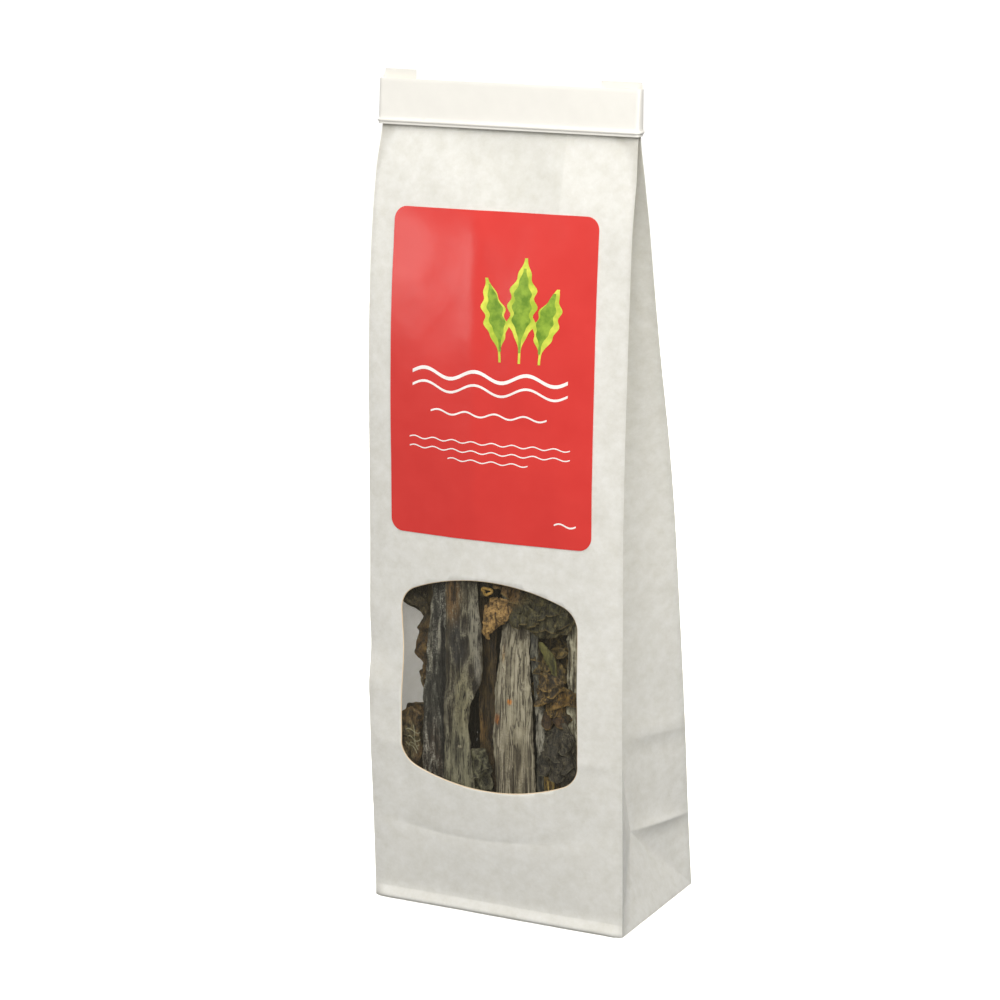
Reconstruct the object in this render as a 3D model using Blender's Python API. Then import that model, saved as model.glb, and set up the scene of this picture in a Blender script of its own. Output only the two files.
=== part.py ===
"""Dried sugar kelp in a paper window bag.

A block-bottom bag with side gussets stands on its base, filled with upright strips and frills of dried kelp.
Its mouth is folded forward once and held by a tape with a wire in it. A label lies on the front, and a film
closes the window from inside.

X is the bag's width, the front faces -Y and Z is up. The origin is the middle of the base.
"""

import random
from math import atan2, cos, degrees, hypot, pi, radians, sin, sqrt

import bmesh
import bpy
from mathutils import Matrix

MM = 0.001

# The bag, in millimetres.
BAG_WIDTH = 80.0
BAG_DEPTH = 50.0
HALF_WIDTH = BAG_WIDTH / 2
HALF_GUSSET = BAG_DEPTH / 2
PAPER = 0.6
FOLDED_EDGE = 0.5
GAP = 0.3

# Its four upright creases and how full it is, from the base to the mouth: height, front crease (y) at the left
# and at the right, back crease (y), and how far the middle of the front and of the back swell outwards.
BAG_LEVELS = (
    (0.0, -25.0, -25.0, 25.0, 0.0, 0.0),
    (23.4, -26.0, -25.4, 21.8, 1.2, 0.8),
    (50.0, -27.6, -26.2, 18.7, 2.0, 1.5),
    (72.0, -27.7, -26.7, 15.7, 2.8, 2.0),
    (94.0, -27.0, -26.7, 12.4, 3.0, 2.2),
    (116.0, -26.6, -27.0, 9.0, 2.8, 2.2),
    (139.0, -26.6, -26.5, 4.2, 2.6, 2.0),
    (162.0, -26.4, -25.4, -1.9, 2.2, 1.6),
    (183.0, -25.3, -24.2, -7.0, 1.5, 1.0),
    (201.0, -23.3, -22.9, -11.0, 0.7, 0.5),
    (216.0, -20.6, -20.3, -14.8, 0.2, 0.2),
    (227.0, -18.0, -18.0, -16.4, 0.0, 0.0),
)
CAVITY_TOP = 216.0

# Between the folded gussets the closed top has two plies instead of four, so it lies a little deeper.
RECESS_INNER = 13.5
RECESS_OUTER = 17.0
RECESS_BOTTOM = 194.0
RECESS_FULL = 216.0
RECESS_DEPTH = 0.9
PANEL_COLUMNS = (-30.0, -RECESS_OUTER, -RECESS_INNER, 0.0, RECESS_INNER, RECESS_OUTER, 30.0)

# The mouth: plies pressed together, folded over at the top, with the flap hanging down in front.
MOUTH_WIDTH = 78.8
MOUTH_BACK = -16.4
MOUTH_FRONT = -17.0
MOUTH_ROOT = 225.5
MOUTH_ROOT_FRONT = -18.05
MOUTH_CLOSED = 232.0
FOLD_TOP = 239.8
FLAP_BOTTOM = 227.4
FLAP_LEAN = 1.1

# The rounded edge of the bottom fold, along the foot of the front.
LIP_LENGTH = 78.8
LIP_PROFILE = ((-24.5, 0.0), (-25.7, 0.0), (-26.2, 0.4), (-26.3, 1.0), (-25.9, 2.3), (-24.9, 3.7), (-24.5, 3.7))

# The closure tape and the wire channel along its lower edge. Its ends are bent round to the back as tabs.
TAPE = 0.45
WIRE_CHANNEL = 1.0
WIRE_CHANNEL_HEIGHT = 2.9
WIRE_CHANNEL_EASE = 0.5
TAPE_BOTTOM = 226.9
TAPE_TOP = 240.1
TAPE_CORNER = 0.3
LEFT_TAB = 10.0
LEFT_TAB_TOP = 242.4
RIGHT_TAB = 12.4
RIGHT_TAB_TOP = 241.6

# The window: straight sides, with its top and bottom crowned.
WINDOW_WIDTH = 56.0
WINDOW_CENTRE = -1.2
WINDOW_BOTTOM = 38.4
WINDOW_TOP = 101.1
WINDOW_CROWN_RADIUS = 62.0
WINDOW_CORNER_RADIUS = 7.5
WINDOW_CUT_START = -36.0
WINDOW_CUT_DEPTH = 14.0
CORNER_STEPS = 4
CROWN_STEPS = 8
FILM = 0.3
FILM_MARGIN = 5.0

# The label, stuck on a little askew.
LABEL_WIDTH = 63.0
LABEL_CENTRE = -0.9
LABEL_BOTTOM = 112.9
LABEL_HEIGHT = 92.3
LABEL_TURN = 0.4
LABEL_CORNER_RADIUS = 3.7
LABEL = 0.4

# The kelp stands on the bag's bottom. Its pleats wander sideways as they rise, and the ruffle of a piece's right
# margin lags behind the left one's.
FOOT = 2.0
PLEAT_WANDER = 0.9
PLEAT_RISE = 17.0
RUFFLE_LAG = 2.1
RUFFLE_FALL = 1.5


def between(stations, height):
    """The stations' values at this height, read along straight lines."""
    for low, high in zip(stations, stations[1:]):
        if height <= high[0]:
            break
    share = (height - low[0]) / (high[0] - low[0])
    return [a + (b - a) * share for a, b in zip(low[1:], high[1:])]


def recess(x, height):
    """How much deeper the front lies between the gussets, near the mouth."""
    rise = (height - RECESS_BOTTOM) / (RECESS_FULL - RECESS_BOTTOM)
    inside = (RECESS_OUTER - abs(x)) / (RECESS_OUTER - RECESS_INNER)
    return RECESS_DEPTH * min(max(rise, 0.0), 1.0) * min(max(inside, 0.0), 1.0)


def front_surface(x, height):
    """The front panel's depth (y) at this place."""
    left, right, _, swell, _ = between(BAG_LEVELS, height)
    across = x / BAG_WIDTH + 0.5
    full = 1.0 - (x / HALF_WIDTH) ** 2
    near_mouth = recess(x, height) if height < BAG_LEVELS[-1][0] else 0.0
    return left + (right - left) * across - swell * full + near_mouth


def back_surface(x, height):
    """The back panel's depth (y) at this place."""
    _, _, back, _, swell = between(BAG_LEVELS, height)
    return back + swell * (1.0 - (x / HALF_WIDTH) ** 2)


def half_width(height):
    """Half the bag's width, which the pinched mouth draws in a little."""
    rise = (height - CAVITY_TOP) / (BAG_LEVELS[-1][0] - CAVITY_TOP)
    return HALF_WIDTH + (MOUTH_WIDTH / 2 - HALF_WIDTH) * min(max(rise, 0.0), 1.0)


def gusset(front, back):
    """How far in a side's middle crease lies, and its depth (y), when the side keeps its width."""
    half_gap = (back - front) / 2
    return sqrt(max(HALF_GUSSET**2 - half_gap**2, 0.0)), (front + back) / 2


def bag_ring(height):
    """The bag's outside at one height, as points from the front's left corner round by the right."""
    front_left, front_right, back, _, _ = between(BAG_LEVELS, height)
    right_in, right_middle = gusset(front_right, back)
    left_in, left_middle = gusset(front_left, back)
    edge = half_width(height)
    columns = (-edge, *PANEL_COLUMNS, edge)
    front = [(x, front_surface(x, height)) for x in columns]
    behind = [(x, back_surface(x, height)) for x in columns[::-1]]
    right = [
        (edge, front_right + FOLDED_EDGE),
        (edge - right_in, right_middle),
        (edge, back - FOLDED_EDGE),
    ]
    left = [
        (-edge, back - FOLDED_EDGE),
        (-edge + left_in, left_middle),
        (-edge, front_left + FOLDED_EDGE),
    ]
    return front + right + behind + left


def cavity_side(front, back):
    """The inside's corner and middle crease on one side, as distances in from the side's own edge."""
    inset, _ = gusset(front, back)
    reach = (back - front) / 2 - FOLDED_EDGE
    slope = atan2(reach, inset)
    crease = inset + PAPER / sin(slope)
    corner = (PAPER * (1 + 1 / cos(slope)) - FOLDED_EDGE) * cos(slope) / sin(slope) if inset else PAPER
    return corner, crease


def cavity_ring(height):
    """The bag's inside at one height, a paper's thickness within bag_ring."""
    front_left, front_right, back, _, _ = between(BAG_LEVELS, height)
    right_corner, right_crease = cavity_side(front_right, back)
    left_corner, left_crease = cavity_side(front_left, back)
    edges = (-HALF_WIDTH + left_corner, HALF_WIDTH - right_corner)
    columns = (edges[0], *PANEL_COLUMNS, edges[1])
    front = [(x, front_surface(x, height) + PAPER) for x in columns]
    behind = [(x, back_surface(x, height) - PAPER) for x in columns[::-1]]
    right = [(HALF_WIDTH - right_crease, (front_right + back) / 2)]
    left = [(-HALF_WIDTH + left_crease, (front_left + back) / 2)]
    return front + right + behind + left


def colour_of(red, green, blue):
    """An 8-bit sRGB colour as Blender's linear colour."""
    shares = [value / 255 for value in (red, green, blue)]
    linear = [s / 12.92 if s <= 0.04045 else ((s + 0.055) / 1.055) ** 2.4 for s in shares]
    return (*linear, 1.0)


def add_material(obj, colour, roughness):
    material = bpy.data.materials.new(obj.name)
    material.use_nodes = True
    shader = material.node_tree.nodes["Principled BSDF"]
    shader.inputs["Base Color"].default_value = colour_of(*colour)
    shader.inputs["Roughness"].default_value = roughness
    shader.inputs["Metallic"].default_value = 0.0
    obj.data.materials.append(material)


def add_object(name, bm):
    """A new object from a bmesh drawn in millimetres."""
    bm.transform(Matrix.Scale(MM, 4))
    mesh = bpy.data.meshes.new(name)
    bm.to_mesh(mesh)
    bm.free()
    obj = bpy.data.objects.new(name, mesh)
    bpy.context.scene.collection.objects.link(obj)
    return obj


def hide_cutter(obj):
    obj.hide_render = True
    obj.display_type = "WIRE"


def loft(name, levels, ring_at, creases=()):
    """A solid through the rings at these heights. Quads that start at a crease split towards it."""
    bm = bmesh.new()
    rings = [[bm.verts.new((x, y, z)) for x, y in ring_at(z)] for z in levels]
    count = len(rings[0])
    for low, high in zip(rings, rings[1:]):
        for i in range(count):
            j = (i + 1) % count
            if i in creases:
                bm.faces.new((low[i], low[j], high[i]))
                bm.faces.new((low[j], high[j], high[i]))
            else:
                bm.faces.new((low[i], low[j], high[j]))
                bm.faces.new((low[i], high[j], high[i]))
    bm.faces.new(rings[0][::-1])
    bm.faces.new(rings[-1])
    return add_object(name, bm)


def extrude_along_x(name, profile, length):
    """A bar with this (y, z) outline, centred on x = 0."""
    bm = bmesh.new()
    face = bm.faces.new([bm.verts.new((-length / 2, y, z)) for y, z in profile])
    pushed = bmesh.ops.extrude_face_region(bm, geom=[face])
    moved = [v for v in pushed["geom"] if isinstance(v, bmesh.types.BMVert)]
    bmesh.ops.translate(bm, vec=(length, 0, 0), verts=moved)
    bmesh.ops.recalc_face_normals(bm, faces=bm.faces)
    return add_object(name, bm)


def arc(centre, radius, start, end, steps):
    """Points on an arc, with its angles in degrees from the first axis."""
    turns = [radians(start + (end - start) * i / steps) for i in range(steps + 1)]
    return [(centre[0] + radius * cos(a), centre[1] + radius * sin(a)) for a in turns]


def mouth_profile():
    """The folded mouth seen from the side: pressed plies, the fold over the top and the flap in front."""
    ply = MOUTH_BACK - MOUTH_FRONT
    outer = ply + GAP / 2
    centre = (MOUTH_FRONT - GAP / 2, FOLD_TOP - outer)
    inner_fold = arc(centre, GAP / 2, 0, 180, CORNER_STEPS)
    outer_fold = arc(centre, outer, 180, 0, 2 * CORNER_STEPS)
    flap_back = centre[0] - GAP / 2 - FLAP_LEAN
    return [
        (MOUTH_BACK, MOUTH_ROOT),
        (MOUTH_ROOT_FRONT, MOUTH_ROOT),
        (MOUTH_FRONT, MOUTH_CLOSED),
        *inner_fold,
        (flap_back, FLAP_BOTTOM),
        (flap_back - ply, FLAP_BOTTOM),
        *outer_fold,
    ]


def window_outline(margin):
    """The window's outline on the front, grown by a margin."""
    half = WINDOW_WIDTH / 2 + margin
    corner = WINDOW_CORNER_RADIUS + margin
    crown = WINDOW_CROWN_RADIUS + margin
    rise = sqrt((crown - corner) ** 2 - (half - corner) ** 2)
    top = WINDOW_TOP + margin - crown
    bottom = WINDOW_BOTTOM - margin + crown
    left = WINDOW_CENTRE - half + corner
    right = WINDOW_CENTRE + half - corner
    turn = degrees(atan2(rise, half - corner))
    return [
        *arc((right, top + rise), corner, 0, turn, CORNER_STEPS)[:-1],
        *arc((WINDOW_CENTRE, top), crown, turn, 180 - turn, CROWN_STEPS),
        *arc((left, top + rise), corner, 180 - turn, 180, CORNER_STEPS)[1:],
        *arc((left, bottom - rise), corner, 180, 180 + turn, CORNER_STEPS)[:-1],
        *arc((WINDOW_CENTRE, bottom), crown, 180 + turn, 360 - turn, CROWN_STEPS),
        *arc((right, bottom - rise), corner, 360 - turn, 360, CORNER_STEPS)[1:],
    ]


def label_outline():
    """The label's outline on the front, with its askew turn."""
    across = LABEL_WIDTH / 2 - LABEL_CORNER_RADIUS
    up = LABEL_HEIGHT / 2 - LABEL_CORNER_RADIUS
    corners = ((across, up, 0), (-across, up, 90), (-across, -up, 180), (across, -up, 270))
    level = []
    for x, z, turn in corners:
        level += arc((x, z), LABEL_CORNER_RADIUS, turn, turn + 90, CORNER_STEPS)
    tilt = radians(LABEL_TURN)
    middle = LABEL_BOTTOM + LABEL_HEIGHT / 2
    return [
        (LABEL_CENTRE + x * cos(tilt) - z * sin(tilt), middle + x * sin(tilt) + z * cos(tilt))
        for x, z in level
    ]


def front_sheet(name, outline, offset, thickness):
    """A thin sheet with this (x, z) outline that follows the front panel, offset behind its surface."""
    bm = bmesh.new()
    bm.faces.new([bm.verts.new((x, 0, z)) for x, z in outline])
    cuts = [((x, 0, 0), (1, 0, 0)) for x in PANEL_COLUMNS]
    cuts += [((0, 0, level[0]), (0, 0, 1)) for level in BAG_LEVELS]
    for place, normal in cuts:
        geometry = bm.verts[:] + bm.edges[:] + bm.faces[:]
        bmesh.ops.bisect_plane(bm, geom=geometry, dist=1e-4, plane_co=place, plane_no=normal)
    bmesh.ops.triangulate(bm, faces=bm.faces)
    for vert in bm.verts:
        vert.co.y = front_surface(vert.co.x, vert.co.z) + offset
    sheet = add_object(name, bm)
    solidify = sheet.modifiers.new("thickness", "SOLIDIFY")
    solidify.thickness = thickness * MM
    solidify.offset = 0
    return sheet


def add_boolean(obj, operation, other):
    modifier = obj.modifiers.new(other.name, "BOOLEAN")
    modifier.operation = operation
    modifier.solver = "EXACT"
    modifier.object = other


def build_paper_bag():
    levels = [level[0] for level in BAG_LEVELS]
    side_start = len(PANEL_COLUMNS) + 2
    panel_and_side = side_start + 3
    creases = (side_start + 1, panel_and_side + side_start + 1)
    bag = loft("paper_bag", levels, bag_ring, creases)

    cavity_levels = [PAPER, *levels[1 : levels.index(CAVITY_TOP) + 1]]
    crease_places = (side_start, 2 * side_start + 1)
    cavity = loft("cutter_cavity", cavity_levels, cavity_ring, crease_places)

    bm = bmesh.new()
    face = bm.faces.new([bm.verts.new((x, WINDOW_CUT_START, z)) for x, z in window_outline(0)])
    pushed = bmesh.ops.extrude_face_region(bm, geom=[face])
    moved = [v for v in pushed["geom"] if isinstance(v, bmesh.types.BMVert)]
    bmesh.ops.translate(bm, vec=(0, WINDOW_CUT_DEPTH, 0), verts=moved)
    bmesh.ops.recalc_face_normals(bm, faces=bm.faces)
    window = add_object("cutter_window", bm)

    mouth = extrude_along_x("cutter_mouth", mouth_profile(), MOUTH_WIDTH)
    lip = extrude_along_x("cutter_lip", LIP_PROFILE, LIP_LENGTH)
    add_boolean(bag, "DIFFERENCE", cavity)
    add_boolean(bag, "DIFFERENCE", window)
    add_boolean(bag, "UNION", mouth)
    add_boolean(bag, "UNION", lip)
    for cutter in (cavity, window, mouth, lip):
        hide_cutter(cutter)
    add_material(bag, (238, 236, 230), 0.75)


def build_window_film():
    film = front_sheet("window_film", window_outline(FILM_MARGIN), PAPER + GAP + FILM / 2, FILM)
    add_material(film, (225, 228, 228), 0.1)


def build_label():
    label = front_sheet("label", label_outline(), -GAP - LABEL / 2, LABEL)
    add_material(label, (216, 58, 52), 0.4)


def tape_path(lean):
    """The tape's inner face in plan, from the end of its left tab round the front to the right one."""
    back = MOUTH_BACK + GAP
    front = MOUTH_FRONT - GAP - (MOUTH_BACK - MOUTH_FRONT) - GAP - lean
    side = MOUTH_WIDTH / 2 + GAP
    corner = TAPE_CORNER
    left = [
        (LEFT_TAB - side, back),
        (corner - side, back),
        (-side, back - corner),
        (-side, front + corner),
        (corner - side, front),
    ]
    right = [
        (side - corner, front),
        (side, front + corner),
        (side, back - corner),
        (side - corner, back),
        (side - RIGHT_TAB, back),
    ]
    return left + [(-side / 2, front), (0.0, front), (side / 2, front)] + right


def outward(path, i):
    """The direction out from a path, at one of its points, stretched so that the wall keeps its thickness."""
    here = path[i]
    sides = []
    for a, b in ((path[i - 1] if i else None, here), (here, path[i + 1] if i + 1 < len(path) else None)):
        if a and b:
            run = hypot(b[0] - a[0], b[1] - a[1])
            sides.append(((b[1] - a[1]) / run, (a[0] - b[0]) / run))
    x = sum(s[0] for s in sides)
    y = sum(s[1] for s in sides)
    stretch = 2 if len(sides) == 2 else 1
    return x * stretch / (x * x + y * y), y * stretch / (x * x + y * y)


def build_closure_tape():
    """A band round the mouth, thick along its lower edge where the wire runs."""
    tops = [LEFT_TAB_TOP] * 3 + [TAPE_TOP] * 7 + [RIGHT_TAB_TOP] * 3
    height = TAPE_TOP - TAPE_BOTTOM
    section = [
        (0.0, 0.0),
        (WIRE_CHANNEL - WIRE_CHANNEL_EASE, 0.0),
        (WIRE_CHANNEL, WIRE_CHANNEL_EASE),
        (WIRE_CHANNEL, WIRE_CHANNEL_HEIGHT - WIRE_CHANNEL_EASE),
        (TAPE, WIRE_CHANNEL_HEIGHT),
        (TAPE, height),
        (0.0, height),
    ]
    bm = bmesh.new()
    rings = []
    for i, top in enumerate(tops):
        ring = []
        for out, up in section:
            path = tape_path(FLAP_LEAN * (1 - up / height))
            away_x, away_y = outward(path, i)
            z = top if up == height else TAPE_BOTTOM + up
            ring.append(bm.verts.new((path[i][0] + away_x * out, path[i][1] + away_y * out, z)))
        rings.append(ring)
    count = len(section)
    for a, b in zip(rings, rings[1:]):
        for i in range(count):
            j = (i + 1) % count
            bm.faces.new((a[i], b[i], b[j], a[j]))
    bm.faces.new(rings[0])
    bm.faces.new(rings[-1][::-1])
    bmesh.ops.recalc_face_normals(bm, faces=bm.faces)
    tape = add_object("closure_tape", bm)
    add_material(tape, (242, 243, 244), 0.45)


def station_heights(stations, step):
    """Heights for a blade's rows: every station, and rows no more than a step apart between them."""
    heights = [stations[0][0]]
    for low, high in zip(stations, stations[1:]):
        rows = max(1, round((high[0] - low[0]) / step))
        heights += [low[0] + (high[0] - low[0]) * (i + 1) / rows for i in range(rows)]
    return heights


def build_blade(
    name, colour, stations, thickness, columns, step, seed,
    ruffle=0.0, waves=3.0, pleat=0.0, folds=2, roll=0, ragged=0.0,
):
    """One dried piece. Its stations, from the foot up, hold height, left margin (x), right margin (x) and depth
    (y). The sheet between them is curved round its length (roll, in degrees), pleated lengthwise, ruffled at
    its margins, torn a little at random (ragged) and then given its thickness."""
    draw = random.Random(seed)
    phase = draw.uniform(0, 2 * pi)
    bm = bmesh.new()
    heights = station_heights(stations, step)
    bend = radians(roll) / 2
    rows = []
    for height in heights:
        left, right, depth = between(stations, height)
        left += draw.uniform(-ragged, ragged)
        right += draw.uniform(-ragged, ragged)
        middle = (left + right) / 2
        half = (right - left) / 2
        along = (height - heights[0]) / (heights[-1] - heights[0])
        row = []
        for i in range(columns + 1):
            u = 2 * i / columns - 1
            across = half * sin(bend * u) / bend if roll else half * u
            sag = half * (1 - cos(bend * u)) / bend if roll else 0.0
            sag += pleat * sin(pi * folds * u + phase + PLEAT_WANDER * sin(height / PLEAT_RISE))
            lag = RUFFLE_LAG if u > 0 else 0.0
            sag += ruffle * abs(u) ** RUFFLE_FALL * sin(2 * pi * waves * along + lag + phase)
            row.append(bm.verts.new((middle + across, depth + sag, height)))
        rows.append(row)
    for low, high in zip(rows, rows[1:]):
        for i in range(columns):
            bm.faces.new((low[i], low[i + 1], high[i + 1]))
            bm.faces.new((low[i], high[i + 1], high[i]))
    blade = add_object(name, bm)
    solidify = blade.modifiers.new("thickness", "SOLIDIFY")
    solidify.thickness = thickness * MM
    solidify.offset = 0
    add_material(blade, colour, 0.6)


def build_front_strips():
    """The strips that stand right behind the film."""
    build_blade(
        "kelp_strip_dark",
        (62, 66, 70),
        (
            (FOOT, -24.0, -17.0, -22.0),
            (47, -23.9, -16.3, -24.8),
            (64, -23.6, -15.9, -25.0),
            (83, -21.5, -15.4, -25.0),
            (95, -20.7, -15.4, -24.8),
            (158, -18.0, -13.0, -22.5),
        ),
        thickness=1.1, columns=6, step=9, seed=1, pleat=0.3, folds=3,
    )
    build_blade(
        "kelp_strip_olive",
        (78, 74, 58),
        (
            (FOOT, -15.5, -7.0, -22.6),
            (23, -16.0, -7.0, -24.5),
            (42, -16.4, -7.2, -25.9),
            (55, -16.2, -8.6, -26.5),
            (63, -15.9, -7.9, -26.8),
            (70, -15.6, -4.2, -26.8),
            (82, -15.5, -3.9, -26.8),
            (95, -15.4, -5.4, -26.7),
            (150, -13.0, -5.5, -24.0),
        ),
        thickness=1.0, columns=8, step=9, seed=2, pleat=0.25, folds=3, roll=20,
    )
    build_blade(
        "kelp_strip_pale",
        (128, 122, 110),
        (
            (FOOT, 0.5, 12.0, -22.4),
            (23, 0.2, 12.2, -24.3),
            (38, -0.1, 12.3, -25.3),
            (55, -0.7, 11.5, -25.6),
            (68, -0.3, 10.8, -25.1),
            (80, 0.6, 9.4, -23.8),
            (88, 1.0, 8.8, -22.4),
            (140, 0.0, 8.0, -21.0),
        ),
        thickness=1.4, columns=10, step=8, seed=3, pleat=0.35, folds=4, roll=20,
    )
    build_blade(
        "kelp_strip_narrow",
        (96, 98, 96),
        (
            (FOOT, 12.2, 14.2, -20.5),
            (42, 11.8, 14.2, -22.7),
            (60, 11.7, 14.6, -22.9),
            (72, 10.9, 13.3, -23.6),
            (80, 10.2, 12.4, -24.0),
            (86, 9.6, 12.2, -22.6),
            (128, 9.2, 12.0, -20.5),
        ),
        thickness=0.9, columns=3, step=12, seed=4, pleat=0.2, folds=1,
    )
    build_blade(
        "kelp_strip_brown",
        (66, 52, 38),
        (
            (FOOT, -6.0, -1.0, -17.8),
            (50, -7.2, -2.2, -21.0),
            (80, -8.0, -1.6, -21.6),
            (130, -6.0, -2.0, -20.0),
        ),
        thickness=0.8, columns=4, step=12, seed=5, pleat=0.4, folds=1,
    )
    build_blade(
        "kelp_strip_edge",
        (112, 110, 102),
        (
            (FOOT, 20.5, 26.0, -19.5),
            (50, 21.5, 27.0, -22.6),
            (82, 21.4, 27.0, -22.9),
            (125, 19.5, 25.0, -21.5),
        ),
        thickness=0.8, columns=4, step=12, seed=6, pleat=0.3, folds=2,
    )


def build_front_frills():
    """Crumpled pieces of the blade's waved margins, round the strips."""
    build_blade(
        "kelp_frill_left",
        (72, 48, 34),
        (
            (FOOT, -31.0, -20.0, -17.5),
            (40, -33.0, -19.0, -20.5),
            (56.8, -32.5, -18.0, -21.3),
            (59, -30.6, -18.0, -21.4),
            (60, -25.2, -18.0, -21.4),
            (68.4, -24.7, -18.0, -21.5),
            (69.4, -26.8, -18.0, -21.5),
            (73, -25.0, -18.0, -21.5),
            (74, -27.8, -18.0, -21.5),
            (82, -27.1, -18.0, -21.5),
            (86.5, -25.4, -18.0, -21.5),
            (88.3, -27.8, -18.0, -21.5),
            (91.5, -32.0, -18.0, -21.5),
            (112, -31.0, -17.0, -21.0),
        ),
        thickness=0.7, columns=6, step=7, seed=7, ruffle=1.0, waves=4, pleat=0.5, folds=1, ragged=0.3,
    )
    build_blade(
        "kelp_frill_upper",
        (64, 58, 40),
        (
            (86, 11.0, 19.0, -25.3),
            (88.5, 8.0, 24.5, -25.1),
            (95.5, 7.6, 26.5, -24.9),
            (98, 1.0, 27.0, -24.9),
            (106, 0.5, 28.0, -24.8),
            (126, 1.0, 24.0, -24.6),
            (136, 5.0, 19.0, -24.6),
        ),
        thickness=0.7, columns=10, step=5, seed=8, ruffle=0.6, waves=4, pleat=0.75, folds=3, ragged=0.8,
    )
    build_blade(
        "kelp_frill_middle",
        (70, 58, 38),
        (
            (54, 12.0, 18.0, -20.2),
            (60, 10.5, 22.0, -20.2),
            (66, 10.0, 24.0, -20.2),
            (74, 10.5, 24.0, -20.2),
            (86, 10.0, 23.5, -19.4),
            (104, 9.0, 22.0, -18.4),
        ),
        thickness=0.7, columns=9, step=4.5, seed=9, ruffle=0.7, waves=4, pleat=0.8, folds=3, ragged=0.7,
    )
    build_blade(
        "kelp_frill_lower",
        (58, 60, 60),
        (
            (FOOT, 20.4, 25.4, -22.4),
            (40, 20.3, 25.2, -24.4),
            (46.5, 20.0, 24.8, -24.9),
            (49, 15.4, 24.6, -25.0),
            (55, 15.4, 24.8, -25.0),
            (59, 17.5, 23.5, -24.9),
            (61.5, 19.5, 22.0, -24.8),
        ),
        thickness=0.7, columns=6, step=6, seed=10, ruffle=0.3, waves=3, pleat=0.35, folds=2, ragged=0.3,
    )
    build_blade(
        "kelp_frill_gold",
        (120, 96, 50),
        (
            (62.2, 16.0, 19.6, -24.2),
            (64.5, 15.1, 20.8, -24.2),
            (69, 14.7, 20.8, -24.2),
            (72.6, 15.6, 19.4, -24.2),
        ),
        thickness=0.6, columns=7, step=2.2, seed=16, ruffle=0.3, waves=2, pleat=0.4, folds=3, ragged=0.5,
    )
    build_blade(
        "kelp_frill_foot",
        (74, 74, 64),
        (
            (FOOT, -6.6, -1.6, -20.6),
            (23, -8.6, -2.4, -21.9),
            (35, -9.0, -2.6, -22.9),
            (44, -9.0, -2.8, -23.9),
            (48, -8.5, -3.4, -24.2),
            (50.5, -7.0, -5.0, -24.3),
        ),
        thickness=0.7, columns=5, step=6, seed=11, ruffle=0.3, waves=3, pleat=0.25, folds=2, ragged=0.4,
    )
    build_blade(
        "kelp_flake_ochre",
        (122, 92, 52),
        (
            (83, -2.4, -1.7, -27.0),
            (85.5, -3.0, -0.8, -27.0),
            (88, -3.4, 2.5, -27.0),
            (90, -3.5, 4.6, -27.0),
            (92.2, -4.0, 6.9, -27.0),
            (94.5, -2.0, 6.0, -27.0),
            (96.5, 2.0, 5.0, -27.0),
        ),
        thickness=0.7, columns=6, step=2, seed=12, pleat=0.2, folds=2, ragged=0.3,
    )
    build_blade(
        "kelp_leaf_green",
        (74, 78, 40),
        (
            (73.5, 17.8, 18.4, -24.6),
            (76.5, 16.8, 18.9, -24.7),
            (79, 14.6, 18.4, -24.8),
            (82, 13.4, 16.8, -24.8),
            (84.5, 13.0, 14.0, -24.8),
        ),
        thickness=0.6, columns=4, step=2.5, seed=13, roll=50,
    )
    build_blade(
        "kelp_curl_upper",
        (110, 88, 44),
        ((95.5, -6.2, 0.0, -26.6), (103, -6.0, -0.2, -26.2), (122, -5.8, -0.4, -24.8)),
        thickness=0.6, columns=10, step=7, seed=14, roll=250,
    )
    build_blade(
        "kelp_curl_lower",
        (92, 80, 48),
        ((FOOT, 11.8, 22.2, -22.6), (30, 11.8, 22.2, -24.8), (45, 11.7, 22.4, -25.6)),
        thickness=0.7, columns=12, step=9, seed=15, roll=290,
    )


def build_back_pieces():
    """Plainer pieces that fill the bag behind those at the window."""
    dark = (52, 50, 44)
    strips = (
        ((FOOT, -22.0, -12.0, -13.0), (80, -21.0, -11.0, -16.8), (150, -17.0, -9.0, -19.0)),
        ((FOOT, 9.0, 20.0, -13.0), (80, 8.0, 19.0, -15.6), (140, 5.0, 14.0, -17.0)),
        ((FOOT, -15.0, -3.0, -6.0), (80, -15.0, -3.0, -10.0), (135, -12.0, -3.0, -14.0)),
        ((FOOT, -13.0, 0.0, 1.0), (70, -12.0, 0.0, -4.0), (118, -10.0, 0.0, -9.5)),
    )
    for i, stations in enumerate(strips):
        build_blade(
            f"kelp_back_strip_{i + 1}", dark, stations,
            thickness=1.3, columns=5, step=16, seed=20 + i, pleat=0.4, folds=2, roll=30,
        )
    frills = (
        ((FOOT, -9.0, 6.0, -14.0), (70, -9.0, 6.5, -16.5), (120, -7.0, 4.0, -17.6)),
        ((FOOT, 2.0, 16.0, -6.5), (70, 2.0, 15.0, -9.8), (112, 1.0, 12.0, -12.5)),
        ((FOOT, 3.0, 17.0, 3.0), (50, 3.0, 16.0, 0.0), (94, 3.0, 14.0, -3.5)),
        ((FOOT, -16.0, 0.0, 9.0), (50, -15.0, 0.0, 6.0), (82, -13.0, 0.0, 2.5)),
    )
    for i, stations in enumerate(frills):
        build_blade(
            f"kelp_back_frill_{i + 1}", dark, stations,
            thickness=0.8, columns=6, step=9, seed=30 + i, ruffle=1.2, waves=4, pleat=0.6, folds=2, ragged=0.6,
        )


def main():
    for obj in list(bpy.data.objects):
        bpy.data.objects.remove(obj)
    build_paper_bag()
    build_window_film()
    build_label()
    build_closure_tape()
    build_front_strips()
    build_front_frills()
    build_back_pieces()


main()
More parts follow.
